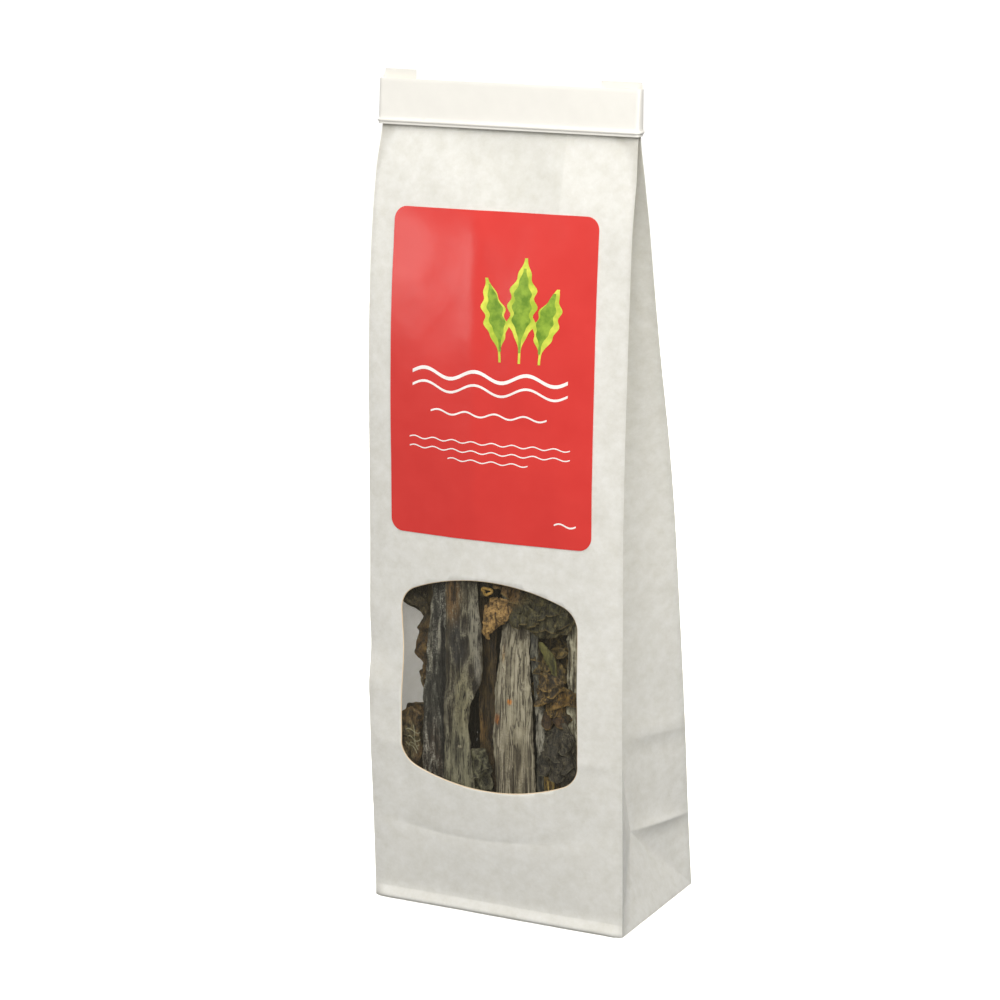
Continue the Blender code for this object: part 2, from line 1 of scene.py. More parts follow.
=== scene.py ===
# %% [markdown]
# # A window bag of dried sugar kelp
#
# The real object is a small white paper bag with folded sides. Its mouth is folded over and held by a tape
# with a wire in it. A red label is on the front, and below it a film window shows the dried kelp inside.
#
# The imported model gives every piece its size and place. This lesson dresses it: thin folded paper in place
# of the plain shell, a printed label, a glossy film, and kelp with wrinkles, powder and torn margins.

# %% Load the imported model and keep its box
from functools import partial
from math import atan2, cos, degrees, exp, pi, radians, sin, sqrt

import bmesh
import bpy
from mathutils import Matrix, Vector, noise
from mathutils.kdtree import KDTree


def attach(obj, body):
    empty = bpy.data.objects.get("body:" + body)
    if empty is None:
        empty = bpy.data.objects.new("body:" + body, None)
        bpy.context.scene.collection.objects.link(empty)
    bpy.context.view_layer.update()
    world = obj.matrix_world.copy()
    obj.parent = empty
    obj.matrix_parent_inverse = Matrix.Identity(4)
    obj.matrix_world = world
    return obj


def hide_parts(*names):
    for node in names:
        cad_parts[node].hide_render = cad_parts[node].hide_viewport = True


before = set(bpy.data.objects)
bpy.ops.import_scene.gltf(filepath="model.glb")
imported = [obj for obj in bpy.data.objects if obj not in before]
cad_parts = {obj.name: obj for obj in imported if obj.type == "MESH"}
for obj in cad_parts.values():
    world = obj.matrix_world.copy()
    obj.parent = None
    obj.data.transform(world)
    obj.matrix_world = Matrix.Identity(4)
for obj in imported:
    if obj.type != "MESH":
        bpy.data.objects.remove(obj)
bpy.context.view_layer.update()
MM = 0.001

# %% [markdown]
# ## Helpers
#
# Colours are picked as sRGB hex values, and shaders take linear ones, so one function turns them. Another
# adds a node with its settings and links: an input may be a value, a socket, or a node, whose first output
# in use is then linked. New pieces are drawn in millimetres and scaled once, when they are finished.

# %% Colours and nodes
def linear(code):
    """An sRGB hex colour as the linear colour that shaders take."""
    channels = [int(code[i : i + 2], 16) / 255 for i in (1, 3, 5)]
    return (*[c / 12.92 if c <= 0.04045 else ((c + 0.055) / 1.055) ** 2.4 for c in channels], 1.0)


def add_node(tree, kind, inputs=(), **settings):
    """Adds one shader node. Each input is given a value, or a socket or node to be linked from."""
    node = tree.nodes.new("ShaderNode" + kind)
    for name, value in settings.items():
        setattr(node, name, value)
    for socket, value in dict(inputs).items():
        if isinstance(value, bpy.types.Node):
            value = next(output for output in value.outputs if output.enabled)
        if isinstance(value, bpy.types.NodeSocket):
            tree.links.new(value, node.inputs[socket])
        else:
            node.inputs[socket].default_value = value
    return node


def new_material(name):
    """An empty material, a shortcut for adding nodes to it, and the place they read."""
    material = bpy.data.materials.new(name)
    material.use_nodes = True
    material.node_tree.nodes.clear()
    add = partial(add_node, material.node_tree)
    return material, add, add("TexCoord").outputs["Object"]


# %% Finished pieces
def finish_piece(name, bm, material, replaced, smooth_angle=35.0):
    """Turns a bmesh drawn in millimetres into a piece that rides with the bag, in a node's place."""
    bm.transform(Matrix.Scale(MM, 4))
    mesh = bpy.data.meshes.new(name)
    bm.to_mesh(mesh)
    bm.free()
    mesh.shade_smooth()
    mesh.set_sharp_from_angle(angle=radians(smooth_angle))
    piece = bpy.data.objects.new(name, mesh)
    bpy.context.scene.collection.objects.link(piece)
    mesh.materials.append(material)
    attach(piece, "root")
    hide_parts(replaced)
    print(name, "has", sum(len(p.vertices) - 2 for p in mesh.polygons), "triangles")
    return piece


def push_out(bm, faces, way, **options):
    """Extrudes these faces as one region, moves the new ones this way, and returns their points."""
    made = bmesh.ops.extrude_face_region(bm, geom=faces, **options)["geom"]
    moved = [g for g in made if isinstance(g, bmesh.types.BMVert)]
    bmesh.ops.translate(bm, vec=way, verts=moved)
    return moved


def lerp(a, b, share):
    """The point that lies this share of the way from a to b."""
    return tuple(p + (q - p) * share for p, q in zip(a, b))


# %% [markdown]
# ## The bag's form
#
# A block-bottom bag is one tube of paper. Its front and back are flat, and each side is folded inwards along
# its middle. While the bag stands open at the foot and pinched at the mouth, the sides keep their width, so
# how far in the middle crease lies follows from the distance between front and back. These are the sizes of
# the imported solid, read here along smooth curves instead of straight lines.

# %% Sizes of the bag
HALF_WIDTH = 40.0
HALF_SIDE = 25.0
# Height, front crease (y) at the left and right, back crease (y), swell of the front and of the back.
LEVELS = (
    (0.0, -25.0, -25.0, 25.0, 0.0, 0.0),
    (23.4, -26.0, -25.4, 21.8, 1.2, 0.8),
    (50.0, -27.6, -26.2, 18.7, 2.0, 1.5),
    (72.0, -27.7, -26.7, 15.7, 2.8, 2.0),
    (94.0, -27.0, -26.7, 12.4, 3.0, 2.2),
    (116.0, -26.6, -27.0, 9.0, 2.8, 2.2),
    (139.0, -26.6, -26.5, 4.2, 2.6, 2.0),
    (162.0, -26.4, -25.4, -1.9, 2.2, 1.6),
    (183.0, -25.3, -24.2, -7.0, 1.5, 1.0),
    (201.0, -23.3, -22.9, -11.0, 0.7, 0.5),
    (216.0, -20.6, -20.3, -14.8, 0.2, 0.2),
    (227.0, -18.0, -18.0, -16.4, 0.0, 0.0),
)
FOOT_FOLD = LEVELS[1][0]
FLAT_FOLD = LEVELS[2][0]
MOUTH_START, MOUTH_FRONT, _, MOUTH_BACK, _, _ = LEVELS[-1]


def at_height(height):
    """The creases and swells at this height, on a smooth curve through the levels."""
    last = len(LEVELS) - 1
    i = next(k for k in range(last) if height <= LEVELS[k + 1][0])
    before, low, high, after = (LEVELS[min(max(k, 0), last)] for k in (i - 1, i, i + 1, i + 2))
    span = high[0] - low[0]
    t = (height - low[0]) / span
    rise = t * t * (3 - 2 * t)
    values = []
    for k in range(1, 6):
        slope_low = (high[k] - before[k]) / (high[0] - before[0])
        slope_high = (after[k] - low[k]) / (after[0] - low[0])
        bend = (t**3 - 2 * t * t + t) * slope_low + (t**3 - t * t) * slope_high
        values.append(low[k] + (high[k] - low[k]) * rise + span * bend)
    return values


# %% [markdown]
# ## Creases and dents
#
# Paper doesn't stretch: it stays nearly flat and bends sharply at a few creases. A crease is a distance that
# falls off on both sides of a line, with a sharp top, and a dent is a soft round hollow. Both move the
# surface by parts of a millimetre only, which is enough for light from above to find them.

# %% Surface of the front and the back
def crest(distance, reach):
    """1 on a line, falling off on both sides, sharp along the line itself."""
    return exp(-abs(distance) / reach)


def dent(x, z, centre_x, centre_z, reach_x, reach_z):
    """1 at a point, falling off softly round it."""
    return exp(-(((x - centre_x) / reach_x) ** 2) - ((z - centre_z) / reach_z) ** 2)


def step(value, low, high):
    """0 up to low, 1 from high on, and a soft rise between."""
    t = min(max((value - low) / (high - low), 0.0), 1.0)
    return t * t * (3 - 2 * t)


def unevenness(size_x, layer, size_z, x, z):
    """Soft unevenness of the paper, with lumps of this size."""
    return noise.noise(Vector((x / size_x, layer, z / size_z)))


RECESS = 0.6
# Dents and swellings of the front: how far out, their middle (x, z) and their reach in x and z.
FRONT_DENTS = (
    (-1.0, -40, 77, 9, 7),
    (0.5, -38, 66, 6, 5),
    (0.35, 11, 183, 7, 10),
    (0.3, 6, 160, 6, 9),
)


def front_marks(x, z):
    """How far out the front stands at its cross folds, the fold pressed through it, and its dents."""
    ends = step(HALF_WIDTH - abs(x), 0.0, 6.0)
    out = sum(depth * dent(x, z, *place) for depth, *place in FRONT_DENTS)
    out += 0.35 * crest(z - FLAT_FOLD - 0.03 * x, 2.5) * ends
    out -= 0.25 * crest(z - FOOT_FOLD + 0.6 - 0.004 * (x + 8) ** 2, 1.6) * ends
    out += 0.6 * crest(x + 7 + 0.03 * (z - 200), 7.0) * step(z, 100, 130) * (1 - step(z, 212, 226))
    out += 0.25 * crest(x + 11, 3.5) * dent(0, z, 0, 112, 1, 12)
    out += 0.35 * unevenness(26, 3.1, 34, x, z) * ends * (1 - step(z, 205, 222))
    return out + 0.12 * unevenness(9, 7.7, 11, x, z) * ends


LIP_TOP = 3.7
LIP_OUT = 1.25
LIP_END = 39.2
LIP_TURN = 1.0


def lip(x, z):
    """The folded edge along the foot: it leans out from its top and turns under at the base."""
    if z > LIP_TOP:
        return 0.0
    if z > LIP_TURN:
        lean = LIP_OUT * (LIP_TOP - z) / (LIP_TOP - LIP_TURN)
    else:
        lean = LIP_OUT - 0.6 * (LIP_TURN - z) ** 2
    return lean * (1 - step(abs(x), LIP_END - 0.8, LIP_END))


def front_y(x, z):
    """The front panel's depth (y) at this place."""
    left, right, _, swell, _ = at_height(min(z, MOUTH_START))
    share = x / HALF_WIDTH / 2 + 0.5
    full = 1 - (x / HALF_WIDTH) ** 2
    hollow = RECESS * step(z, 194, 214) * (1 - step(abs(x), 6, 20)) * (1 - step(z, 218, MOUTH_START))
    return left + (right - left) * share - swell * full + hollow - front_marks(x, z) - lip(x, z)


def back_y(x, z):
    """The back panel's depth (y) at this place."""
    _, _, back, _, swell = at_height(min(z, MOUTH_START))
    ends = step(HALF_WIDTH - abs(x), 0.0, 6.0) * step(z, 0.0, 8.0) * (1 - step(z, 205, 222))
    out = 0.35 * crest(z - FLAT_FOLD, 2.5) + 0.4 * unevenness(24, 9.3, 31, x, z)
    return back + swell * (1 - (x / HALF_WIDTH) ** 2) + out * ends


print("depth of the bag at the label's middle:", round(back_y(0, 160) - front_y(0, 160), 2), "mm")

# %% [markdown]
# ## One sheet, drawn up from the base
#
# The paper starts as a ring of points round the base. Each step extrudes the whole ring and moves it to its
# next place, just as the tube of paper runs on the real bag: up the body, in at the mouth, over the fold and
# down in front. Each side holds a flat triangle at the foot, where the block bottom was folded out.

# %% Rings of the body
FRONT_STEPS = 64
BACK_STEPS = 32
SIDE_STEPS = 8
MOUTH_HALF_WIDTH = 39.4


def half_width(z):
    """Half the bag's width, which the pinched mouth draws in a little."""
    return HALF_WIDTH + (MOUTH_HALF_WIDTH - HALF_WIDTH) * step(z, 214, MOUTH_START)


def side_marks(x, y, z, middle):
    """How far out a side stands: ridges along its cross folds, and a hollow triangle below the lower one."""
    behind = step(y - middle, 0.0, 5.0) * step(HALF_WIDTH - x, 0.0, 1.5) * (1 - step(z, 190, 215))
    below = FOOT_FOLD - z
    out = 0.35 * noise.noise(Vector((x / 12, y / 16, z / 22 + 4)))
    out += 1.2 * crest(z - FLAT_FOLD - 1.5, 6.0) - 0.8 * crest(z - FLAT_FOLD + 3.0, 5.0)
    out += 0.7 * crest(-below - 0.2, 1.2)
    out -= 0.9 * step(below, 0.0, 3.5) * step(z, 0.0, 16.0) * step(y - middle, 0.0, 9.0)
    return out * behind - 0.3 * crest(y - 1.0, 1.2) * step(below, 0.0, 6.0) * step(z, 0.0, 5.0)


def side_points(sign, z):
    """One side from front to back: in to its middle crease and out, with a flat triangle at the foot."""
    edge = half_width(z)
    front, back = front_y(sign * edge, z), back_y(sign * edge, z)
    inset = sqrt(max(HALF_SIDE**2 - ((back - front) / 2) ** 2, 0.0))
    inner = (edge - inset, (front + back) / 2)
    first = last = inner
    if z < FOOT_FOLD:
        crease = at_height(FOOT_FOLD)
        high_front, high_back = crease[0 if sign < 0 else 1], crease[2]
        reach = sqrt(HALF_SIDE**2 - ((high_back - high_front) / 2) ** 2)
        apex = (edge - reach, (high_front + high_back) / 2)
        first = lerp((edge, -HALF_SIDE), apex, z / FOOT_FOLD)
        last = lerp((edge, HALF_SIDE), apex, z / FOOT_FOLD)
    points = []
    for start, end in (((edge, front), first), (first, last), (last, (edge, back))):
        points += [lerp(start, end, (i + 1) / SIDE_STEPS) for i in range(SIDE_STEPS)]
    return [(sign * (x + side_marks(x, y, z, inner[1])), y) for x, y in points[:-1]]


def section(z):
    """The ring of points round the bag at this height, from the front's left corner round by the right."""
    edge = half_width(z)
    front_columns = [edge * (2 * i / FRONT_STEPS - 1) for i in range(FRONT_STEPS + 1)]
    back_columns = [edge * (1 - 2 * i / BACK_STEPS) for i in range(BACK_STEPS + 1)]
    ring = [(x, front_y(x, z)) for x in front_columns] + side_points(1, z)
    ring += [(x, back_y(x, z)) for x in back_columns] + side_points(-1, z)[::-1]
    return [(x, y, z) for x, y in ring]


LIP_HEIGHTS = [0.0, 0.3, 0.7, 1.1, 1.6, 2.2, 2.9, 3.5, 3.8]
CREASE_HEIGHTS = [22.4, 22.9, 23.4, 23.9, 24.6, 48.5, 49.5, 50.0, 50.5, 51.5]
ROW = 2.0
even_rows = [ROW * i for i in range(3, int(MOUTH_START / ROW) + 1)]
even_rows = [z for z in even_rows if min(abs(z - c) for c in CREASE_HEIGHTS) > 0.7]
body_heights = sorted(LIP_HEIGHTS + CREASE_HEIGHTS + even_rows + [MOUTH_START])
print(len(body_heights), "rings of", len(section(0.0)), "points")

# %% [markdown]
# The folded mouth is the same ring pressed flat. Its plies travel as a stack along a path: straight up, round
# a half circle and down again, leaning out at the bottom where the tape's wire holds it off the front.

# %% Rings of the folded mouth
STACK = 0.55
STACK_MIDDLE = -16.75
FOLD_RADIUS = 0.5
FOLD_CENTRE = 239.0
CLOSED = 232.0
FLAP_END = 227.4
FLAP_LEAN = 1.0
FOLD_STEPS = 8
FLAP_STEPS = 4


def stack_places():
    """Where the stack of plies goes: its middle (y, z), the way out through it, and half its thickness."""
    open_half = (MOUTH_BACK - MOUTH_FRONT) / 2
    open_middle = (MOUTH_BACK + MOUTH_FRONT) / 2
    places = []
    for z in (228.5, 230.0, 231.0, CLOSED, 234.0, 236.5, FOLD_CENTRE):
        share = step(z, MOUTH_START, CLOSED)
        middle = open_middle + (STACK_MIDDLE - open_middle) * share
        places.append((middle, z, 1.0, 0.0, open_half + (STACK / 2 - open_half) * share))
    for i in range(1, FOLD_STEPS + 1):
        turn = pi * i / FOLD_STEPS
        y = STACK_MIDDLE - FOLD_RADIUS + FOLD_RADIUS * cos(turn)
        places.append((y, FOLD_CENTRE + FOLD_RADIUS * sin(turn), cos(turn), sin(turn), STACK / 2))
    for i in range(1, FLAP_STEPS + 1):
        z = FOLD_CENTRE + (FLAP_END - FOLD_CENTRE) * i / FLAP_STEPS
        y = STACK_MIDDLE - 2 * FOLD_RADIUS - FLAP_LEAN * (i / FLAP_STEPS) ** 1.5
        places.append((y, z, -1.0, 0.0, STACK / 2))
    return places


def stack_section(place):
    """The flattened ring at one place on the stack's path."""
    middle, height, out_y, out_z, half = place
    ring = []
    for x, y, _ in section(MOUTH_START):
        ply = (2 * y - MOUTH_FRONT - MOUTH_BACK) / (MOUTH_BACK - MOUTH_FRONT) * half
        ring.append((x, middle + out_y * ply, height + out_z * ply))
    return ring


# %% Draw the sheet up through its rings
def edges_round(bm, ring):
    """The edges of a closed ring of points."""
    return [bm.edges.get(pair) for pair in zip(ring, ring[1:] + ring[:1])]


def raise_ring(bm, ring, points):
    """Extrudes a closed ring of points to its next places, and returns the new ring in the same order."""
    made = bmesh.ops.extrude_edge_only(bm, edges=edges_round(bm, ring))["geom"]
    fresh = {v for v in made if isinstance(v, bmesh.types.BMVert)}
    raised = []
    for old, place in zip(ring, points):
        vert = next(e.other_vert(old) for e in old.link_edges if e.other_vert(old) in fresh)
        vert.co = place
        raised.append(vert)
    return raised


BASE_SHEET = 0.7
bag = bmesh.new()
base = [bag.verts.new(p) for p in section(0.0)]
for pair in zip(base, base[1:] + base[:1]):
    bag.edges.new(pair)
ring = base
for z in body_heights[1:]:
    ring = raise_ring(bag, ring, section(z))
for place in stack_places():
    ring = raise_ring(bag, ring, stack_section(place))
floor_ring = raise_ring(bag, base, [(v.co.x * 0.985, v.co.y * 0.975, BASE_SHEET) for v in base])
bmesh.ops.contextual_create(bag, geom=edges_round(bag, floor_ring))
bmesh.ops.remove_doubles(bag, verts=bag.verts, dist=0.002)
bmesh.ops.recalc_face_normals(bag, faces=bag.faces)
print("sheet:", len(bag.faces), "faces")

# %% [markdown]
# ## Paper with a window
#
# The sheet gets its thickness inwards. The window is then cut with a prism by a Boolean, which gives the hole
# a clean edge. Its sides are straight, apart from a small pull where the left edge is dented, and its top and
# bottom are arcs.

# %% The window's outline
WINDOW_WIDTH = 56.0
WINDOW_CENTRE = -1.2
WINDOW_BOTTOM = 38.4
WINDOW_TOP = 101.1
CROWN_RADIUS = 62.0
CORNER_RADIUS = 7.5
PULL = 1.1


def arc(centre, radius, start, end, steps):
    """Points on an arc, with its angles in degrees."""
    turns = [radians(start + (end - start) * i / steps) for i in range(steps + 1)]
    return [(centre[0] + radius * cos(a), centre[1] + radius * sin(a)) for a in turns]


def window_outline(margin, steps=10):
    """The window's outline on the front, grown by a margin."""
    half = WINDOW_WIDTH / 2 + margin
    corner = CORNER_RADIUS + margin
    crown = CROWN_RADIUS + margin
    rise = sqrt((crown - corner) ** 2 - (half - corner) ** 2)
    top, bottom = WINDOW_TOP + margin - crown, WINDOW_BOTTOM - margin + crown
    left, right = WINDOW_CENTRE - half + corner, WINDOW_CENTRE + half - corner
    turn = degrees(atan2(rise, half - corner))
    side_steps = range(1, steps)
    points = [
        *arc((right, top + rise), corner, 0, turn, steps)[:-1],
        *arc((WINDOW_CENTRE, top), crown, turn, 180 - turn, 2 * steps),
        *arc((left, top + rise), corner, 180 - turn, 180, steps)[1:],
        *[(left - corner, top + rise + (bottom - top - 2 * rise) * i / steps) for i in side_steps],
        *arc((left, bottom - rise), corner, 180, 180 + turn, steps)[:-1],
        *arc((WINDOW_CENTRE, bottom), crown, 180 + turn, 360 - turn, 2 * steps),
        *arc((right, bottom - rise), corner, 360 - turn, 360, steps)[1:],
    ]
    return [(x + PULL * dent(x, z, -30, 77, 8, 12), z) for x, z in points]


def scratch_object(name, bm):
    """A helper object that is removed again once it has been used."""
    mesh = bpy.data.meshes.new(name)
    bm.to_mesh(mesh)
    bm.free()
    made = bpy.data.objects.new(name, mesh)
    bpy.context.scene.collection.objects.link(made)
    return made


# %% Thickness, then the cut
PAPER = 0.16
CUTTER_FRONT = -36
CUTTER_BACK = -22
prism = bmesh.new()
face = prism.faces.new([prism.verts.new((x, CUTTER_FRONT, z)) for x, z in window_outline(0.1)])
push_out(prism, [face], (0, CUTTER_BACK - CUTTER_FRONT, 0))
bmesh.ops.recalc_face_normals(prism, faces=prism.faces)
cutter = scratch_object("scratch_window", prism)
sheet = scratch_object("scratch_sheet", bag)
thickness = sheet.modifiers.new("paper", "SOLIDIFY")
thickness.thickness = PAPER
thickness.offset = -1
cut = sheet.modifiers.new("window", "BOOLEAN")
cut.operation = "DIFFERENCE"
cut.solver = "EXACT"
cut.object = cutter
bpy.context.view_layer.update()
shown = sheet.evaluated_get(bpy.context.evaluated_depsgraph_get())
bag = bmesh.new()
bag.from_mesh(shown.to_mesh())
bpy.data.objects.remove(sheet)
bpy.data.objects.remove(cutter)

# %% [markdown]
# The cut edge gets a material of its own. Its inner rim is also drawn a little way into the opening, so that
# the edge slants and can be seen from the front, as the slightly rounded edge of a die-cut hole can.

# %% The cut edge
CUT_SLANT = 0.22


def is_cut(face):
    """Whether a face lies in the thickness of the paper at the window."""
    centre = face.calc_center_median()
    beside = abs(centre.x - WINDOW_CENTRE) < WINDOW_WIDTH / 2 + 2
    level = WINDOW_BOTTOM - 2 < centre.z < WINDOW_TOP + 2
    return beside and level and centre.y < CUTTER_BACK and abs(face.normal.y) < 0.35


edge_faces = [face for face in bag.faces if is_cut(face)]
slanted = {}
for face in edge_faces:
    face.material_index = 1
    for vert in face.verts:
        if vert.co.y > front_y(vert.co.x, vert.co.z) + PAPER / 2:
            slanted.setdefault(vert, Vector()).xz += face.normal.xz
for vert, towards in slanted.items():
    vert.co += CUT_SLANT * towards.normalized()
bag.normal_update()
print("paper with its window:", len(bag.faces), "faces,", len(edge_faces), "of them in its cut edge")

# %% [markdown]
# The paper is bleached kraft: nearly white, matt, and a little cloudy where the fibres lie thicker. Some
# light goes through it, so the inside of the bag isn't black. A Principled material with a little subsurface
# light does this, as the sheet is closed and thin. Above the label, as far as the folded side behind it, the
# front is given a slight painted shade, since it lies there alone and less light comes back through it. The
# cut edge of the window shows the paper's core and a little glue, so it is warmer.

# %% Bag paper
# Painted shade on the single ply above the label: per axis or the slant, where it begins and is full, in mm.
SINGLE_PLY_SHADE = (("slant", 158, 172), ("X", 18.3, 17.7), ("Z", 190, 200), ("Y", -15, -18))
SINGLE_SLANT = 0.8


def paper_material():
    """Bleached kraft paper, matt, with fibre clouds, a fine tooth and painted shade on the single ply."""
    material, add, place = new_material("bleached kraft paper")
    clouds = add("TexNoise", {"Vector": place, "Scale": 240, "Detail": 7, "Roughness": 0.75})
    fibres = add("TexNoise", {"Vector": place, "Scale": 2600, "Detail": 3, "Roughness": 0.7})
    cloudy = add("MapRange", {0: clouds, 1: 0.32, 2: 0.68})
    tone = add("Mix", {0: cloudy, 6: linear("#e8e5d7"), 7: linear("#faf8ee")}, data_type="RGBA")

    axes = add("SeparateXYZ", {0: place}).outputs
    slant = add("Math", {0: axes["Z"], 1: SINGLE_SLANT, 2: axes["X"]}, operation="MULTIPLY_ADD")
    single = 1.0
    for axis, outside, inside in SINGLE_PLY_SHADE:
        value = slant if axis == "slant" else axes[axis]
        within = add("MapRange", {0: value, 1: outside * MM, 2: inside * MM})
        single = add("Math", {0: single, 1: within}, operation="MULTIPLY")
    # Painted shade: where the front lies as a single ply, its tone is multiplied a little darker.
    grey = {0: 1.0, 6: tone, 7: linear("#f7f7f6")}
    painted_shade = add("Mix", grey, data_type="RGBA", blend_type="MULTIPLY")
    tone = add("Mix", {0: single, 6: tone, 7: painted_shade}, data_type="RGBA")
    tooth = add("Bump", {"Height": fibres, "Strength": 0.35, "Distance": 0.00004})
    inputs = {"Base Color": tone, "Roughness": 0.62, "Normal": tooth}
    glow = {"Subsurface Weight": 0.4, "Subsurface Radius": (1.0, 0.95, 0.85), "Subsurface Scale": 0.0015}
    add("OutputMaterial", {"Surface": add("BsdfPrincipled", inputs | glow)})
    return material


def mottled_material(name, dark, light, scale, detail, rough, spread=None, bump=None, **more):
    """A printed, coated or cut surface in two near tones."""
    material, add, place = new_material(name)
    spots = add("TexNoise", {"Vector": place, "Scale": scale, "Detail": detail, **more})
    if spread:
        spots = add("MapRange", {0: spots, 1: spread[0], 2: spread[1]})
    tone = add("Mix", {0: spots, 6: linear(dark), 7: linear(light)}, data_type="RGBA")
    inputs = {"Base Color": tone, "Roughness": rough}
    if bump:
        bump_scale, bump_detail, strength, distance = bump
        grain = add("TexNoise", {"Vector": place, "Scale": bump_scale, "Detail": bump_detail})
        inputs["Normal"] = add("Bump", {"Height": grain, "Strength": strength, "Distance": distance})
    add("OutputMaterial", {"Surface": add("BsdfPrincipled", inputs)})
    return material


paper = paper_material()
paper_bag = finish_piece("bag_paper_sheet", bag, paper, "paper_bag", smooth_angle=40)
paper_bag.data.materials.append(mottled_material("cut paper edge", "#c9ad86", "#eddcc0", 220, 2, 0.5))

# %% [markdown]
# The tube of paper was closed with a glued lap seam, which such a bag has on its back. Only the free edge of
# the outer ply shows, so the seam is a strip of paper that stands out along that edge and sinks into the
# sheet on its other side. It is drawn a little prouder than one ply, as glue swells it.

# %% Back seam
SEAM_EDGE = -7.0
SEAM_WIDTH = 12.0
SEAM_LIFT = 0.2
SEAM_SUNK = 0.08


def back_face_y(x, z):
    """The depth (y) of the back's outer face, also where the mouth's plies lie together."""
    share = step(z, MOUTH_START, CLOSED)
    return back_y(x, z) * (1 - share) + (STACK_MIDDLE + STACK / 2) * share


seam = bmesh.new()
bmesh.ops.create_grid(seam, x_segments=10, y_segments=240, size=0.5)
for vert in seam.verts:
    across, z = vert.co.x + 0.5, FOLD_CENTRE * (vert.co.y + 0.5)
    x = SEAM_EDGE + SEAM_WIDTH * across
    lift = (SEAM_LIFT + SEAM_SUNK) * (1 - across) * step(z, 0.0, 8.0) - SEAM_SUNK
    vert.co = (x, back_face_y(x, z) + lift, z)
push_out(seam, seam.faces[:], (0, -PAPER, 0), use_keep_orig=True)
bmesh.ops.recalc_face_normals(seam, faces=seam.faces)
finish_piece("back_seam", seam, paper, "paper_bag")

# %% [markdown]
# ## The block bottom
#
# Under the bag the tube is folded shut: the two sides are tucked in first, then the back and the front flap
# are laid over them and glued. Each flap is a thin plate here, and together they lie under the bag's floor.

# %% Bottom flaps
FLAP_SHEET = 0.15
# Height of each flap's upper face, and its corners (x, y).
FLAPS = (
    (0.47, ((-39.0, -24.3), (-39.0, 24.3), (-19.0, 4.5), (-19.0, -4.5))),
    (0.47, ((39.0, 24.3), (39.0, -24.3), (19.0, -4.5), (19.0, 4.5))),
    (0.28, ((-39.0, 24.4), (39.0, 24.4), (35.0, -6.0), (-35.0, -6.0))),
    (0.1, ((-39.0, -25.2), (-35.0, 8.0), (35.0, 8.0), (39.0, -25.2))),
)
flaps = bmesh.new()
for top, outline in FLAPS:
    face = flaps.faces.new([flaps.verts.new((x, y, max(top - FLAP_SHEET, 0.0))) for x, y in outline])
    push_out(flaps, [face], (0, 0, FLAP_SHEET))
bmesh.ops.recalc_face_normals(flaps, faces=flaps.faces)
finish_piece("bottom_flaps", flaps, paper, "paper_bag")

# %% [markdown]
# ## Sheets that lie on the front
#
# The label, its print and the film all follow the front panel. Each starts as one flat face with the right
# outline, is cut into small squares so that it can bend, and is then laid on the front at its own distance.

# %% Draped sheets
def draped_sheet(bm, outline, spacing, clearance, thickness):
    """Adds a sheet over an (x, z) outline, this far in front of the paper (less than 0 is behind it)."""
    face = bm.faces.new([bm.verts.new((x, 0, z)) for x, z in outline])
    geom = [face, *face.verts, *face.edges]
    for axis, across in ((0, Vector((1, 0, 0))), (1, Vector((0, 0, 1)))):
        values = [point[axis] for point in outline]
        count = max(int((max(values) - min(values)) / spacing), 1)
        for i in range(1, count):
            place = across * (min(values) + (max(values) - min(values)) * i / count)
            geom = bmesh.ops.bisect_plane(bm, geom=geom, plane_co=place, plane_no=across)["geom"]
    front = push_out(bm, [g for g in geom if isinstance(g, bmesh.types.BMFace)], (0, 0, 0))
    back = [g for g in geom if isinstance(g, bmesh.types.BMVert)]
    for verts, offset in ((back, clearance), (front, clearance + thickness)):
        for v in verts:
            v.co.y = front_y(v.co.x, v.co.z) - offset
    bmesh.ops.recalc_face_normals(bm, faces=list({f for v in front + back for f in v.link_faces}))


LABEL_CENTRE = (-0.9, 159.05)
LABEL_SIZE = (63.0, 92.3)
LABEL_CORNER = 3.7
LABEL_TURN = radians(0.4)


def on_label(points):
    """Points measured from the label's middle, as places on the front."""
    c, s = cos(LABEL_TURN), sin(LABEL_TURN)
    return [(LABEL_CENTRE[0] + u * c - v * s, LABEL_CENTRE[1] + u * s + v * c) for u, v in points]


def rounded_outline(width, height, radius, steps=8):
    """A rectangle with round corners, about its own middle."""
    right, top = width / 2 - radius, height / 2 - radius
    corners = ((right, top), (-right, top), (-right, -top), (right, -top))
    return [p for i, c in enumerate(corners) for p in arc(c, radius, 90 * i, 90 * i + 90, steps)]


# %% [markdown]
# ## The label
#
# The label is a paper sticker printed red all over, with a satin coating: its creases catch a soft light. The
# coating keeps the fine unevenness of the paper under it.

# %% Label
def label_material():
    """Coated paper printed in solid red."""
    material, add, place = new_material("red printed label paper")
    grain = add("TexNoise", {"Vector": place, "Scale": 900, "Detail": 4})
    waves = add("TexNoise", {"Vector": place, "Scale": 120, "Detail": 2})
    tone = add("Mix", {0: waves, 6: linear("#d02f29"), 7: linear("#d93a33")}, data_type="RGBA")
    both = add("Math", {0: waves, 1: 12.0, 2: grain}, operation="MULTIPLY_ADD")
    bump = add("Bump", {"Height": both, "Strength": 0.5, "Distance": 0.00002})
    inputs = {"Base Color": tone, "Roughness": 0.27, "Normal": bump, "Specular IOR Level": 0.7}
    add("OutputMaterial", {"Surface": add("BsdfPrincipled", inputs)})
    return material


label = bmesh.new()
draped_sheet(label, on_label(rounded_outline(*LABEL_SIZE, LABEL_CORNER)), 1.6, 0.05, 0.12)
finish_piece("label_sheet", label, label_material(), "label")

# %% [markdown]
# The print is a generic one: three drawn kelp blades with a yellow rim, and white wave lines where a label
# would have its lines of print. It lies on the label as thin sheets of ink.

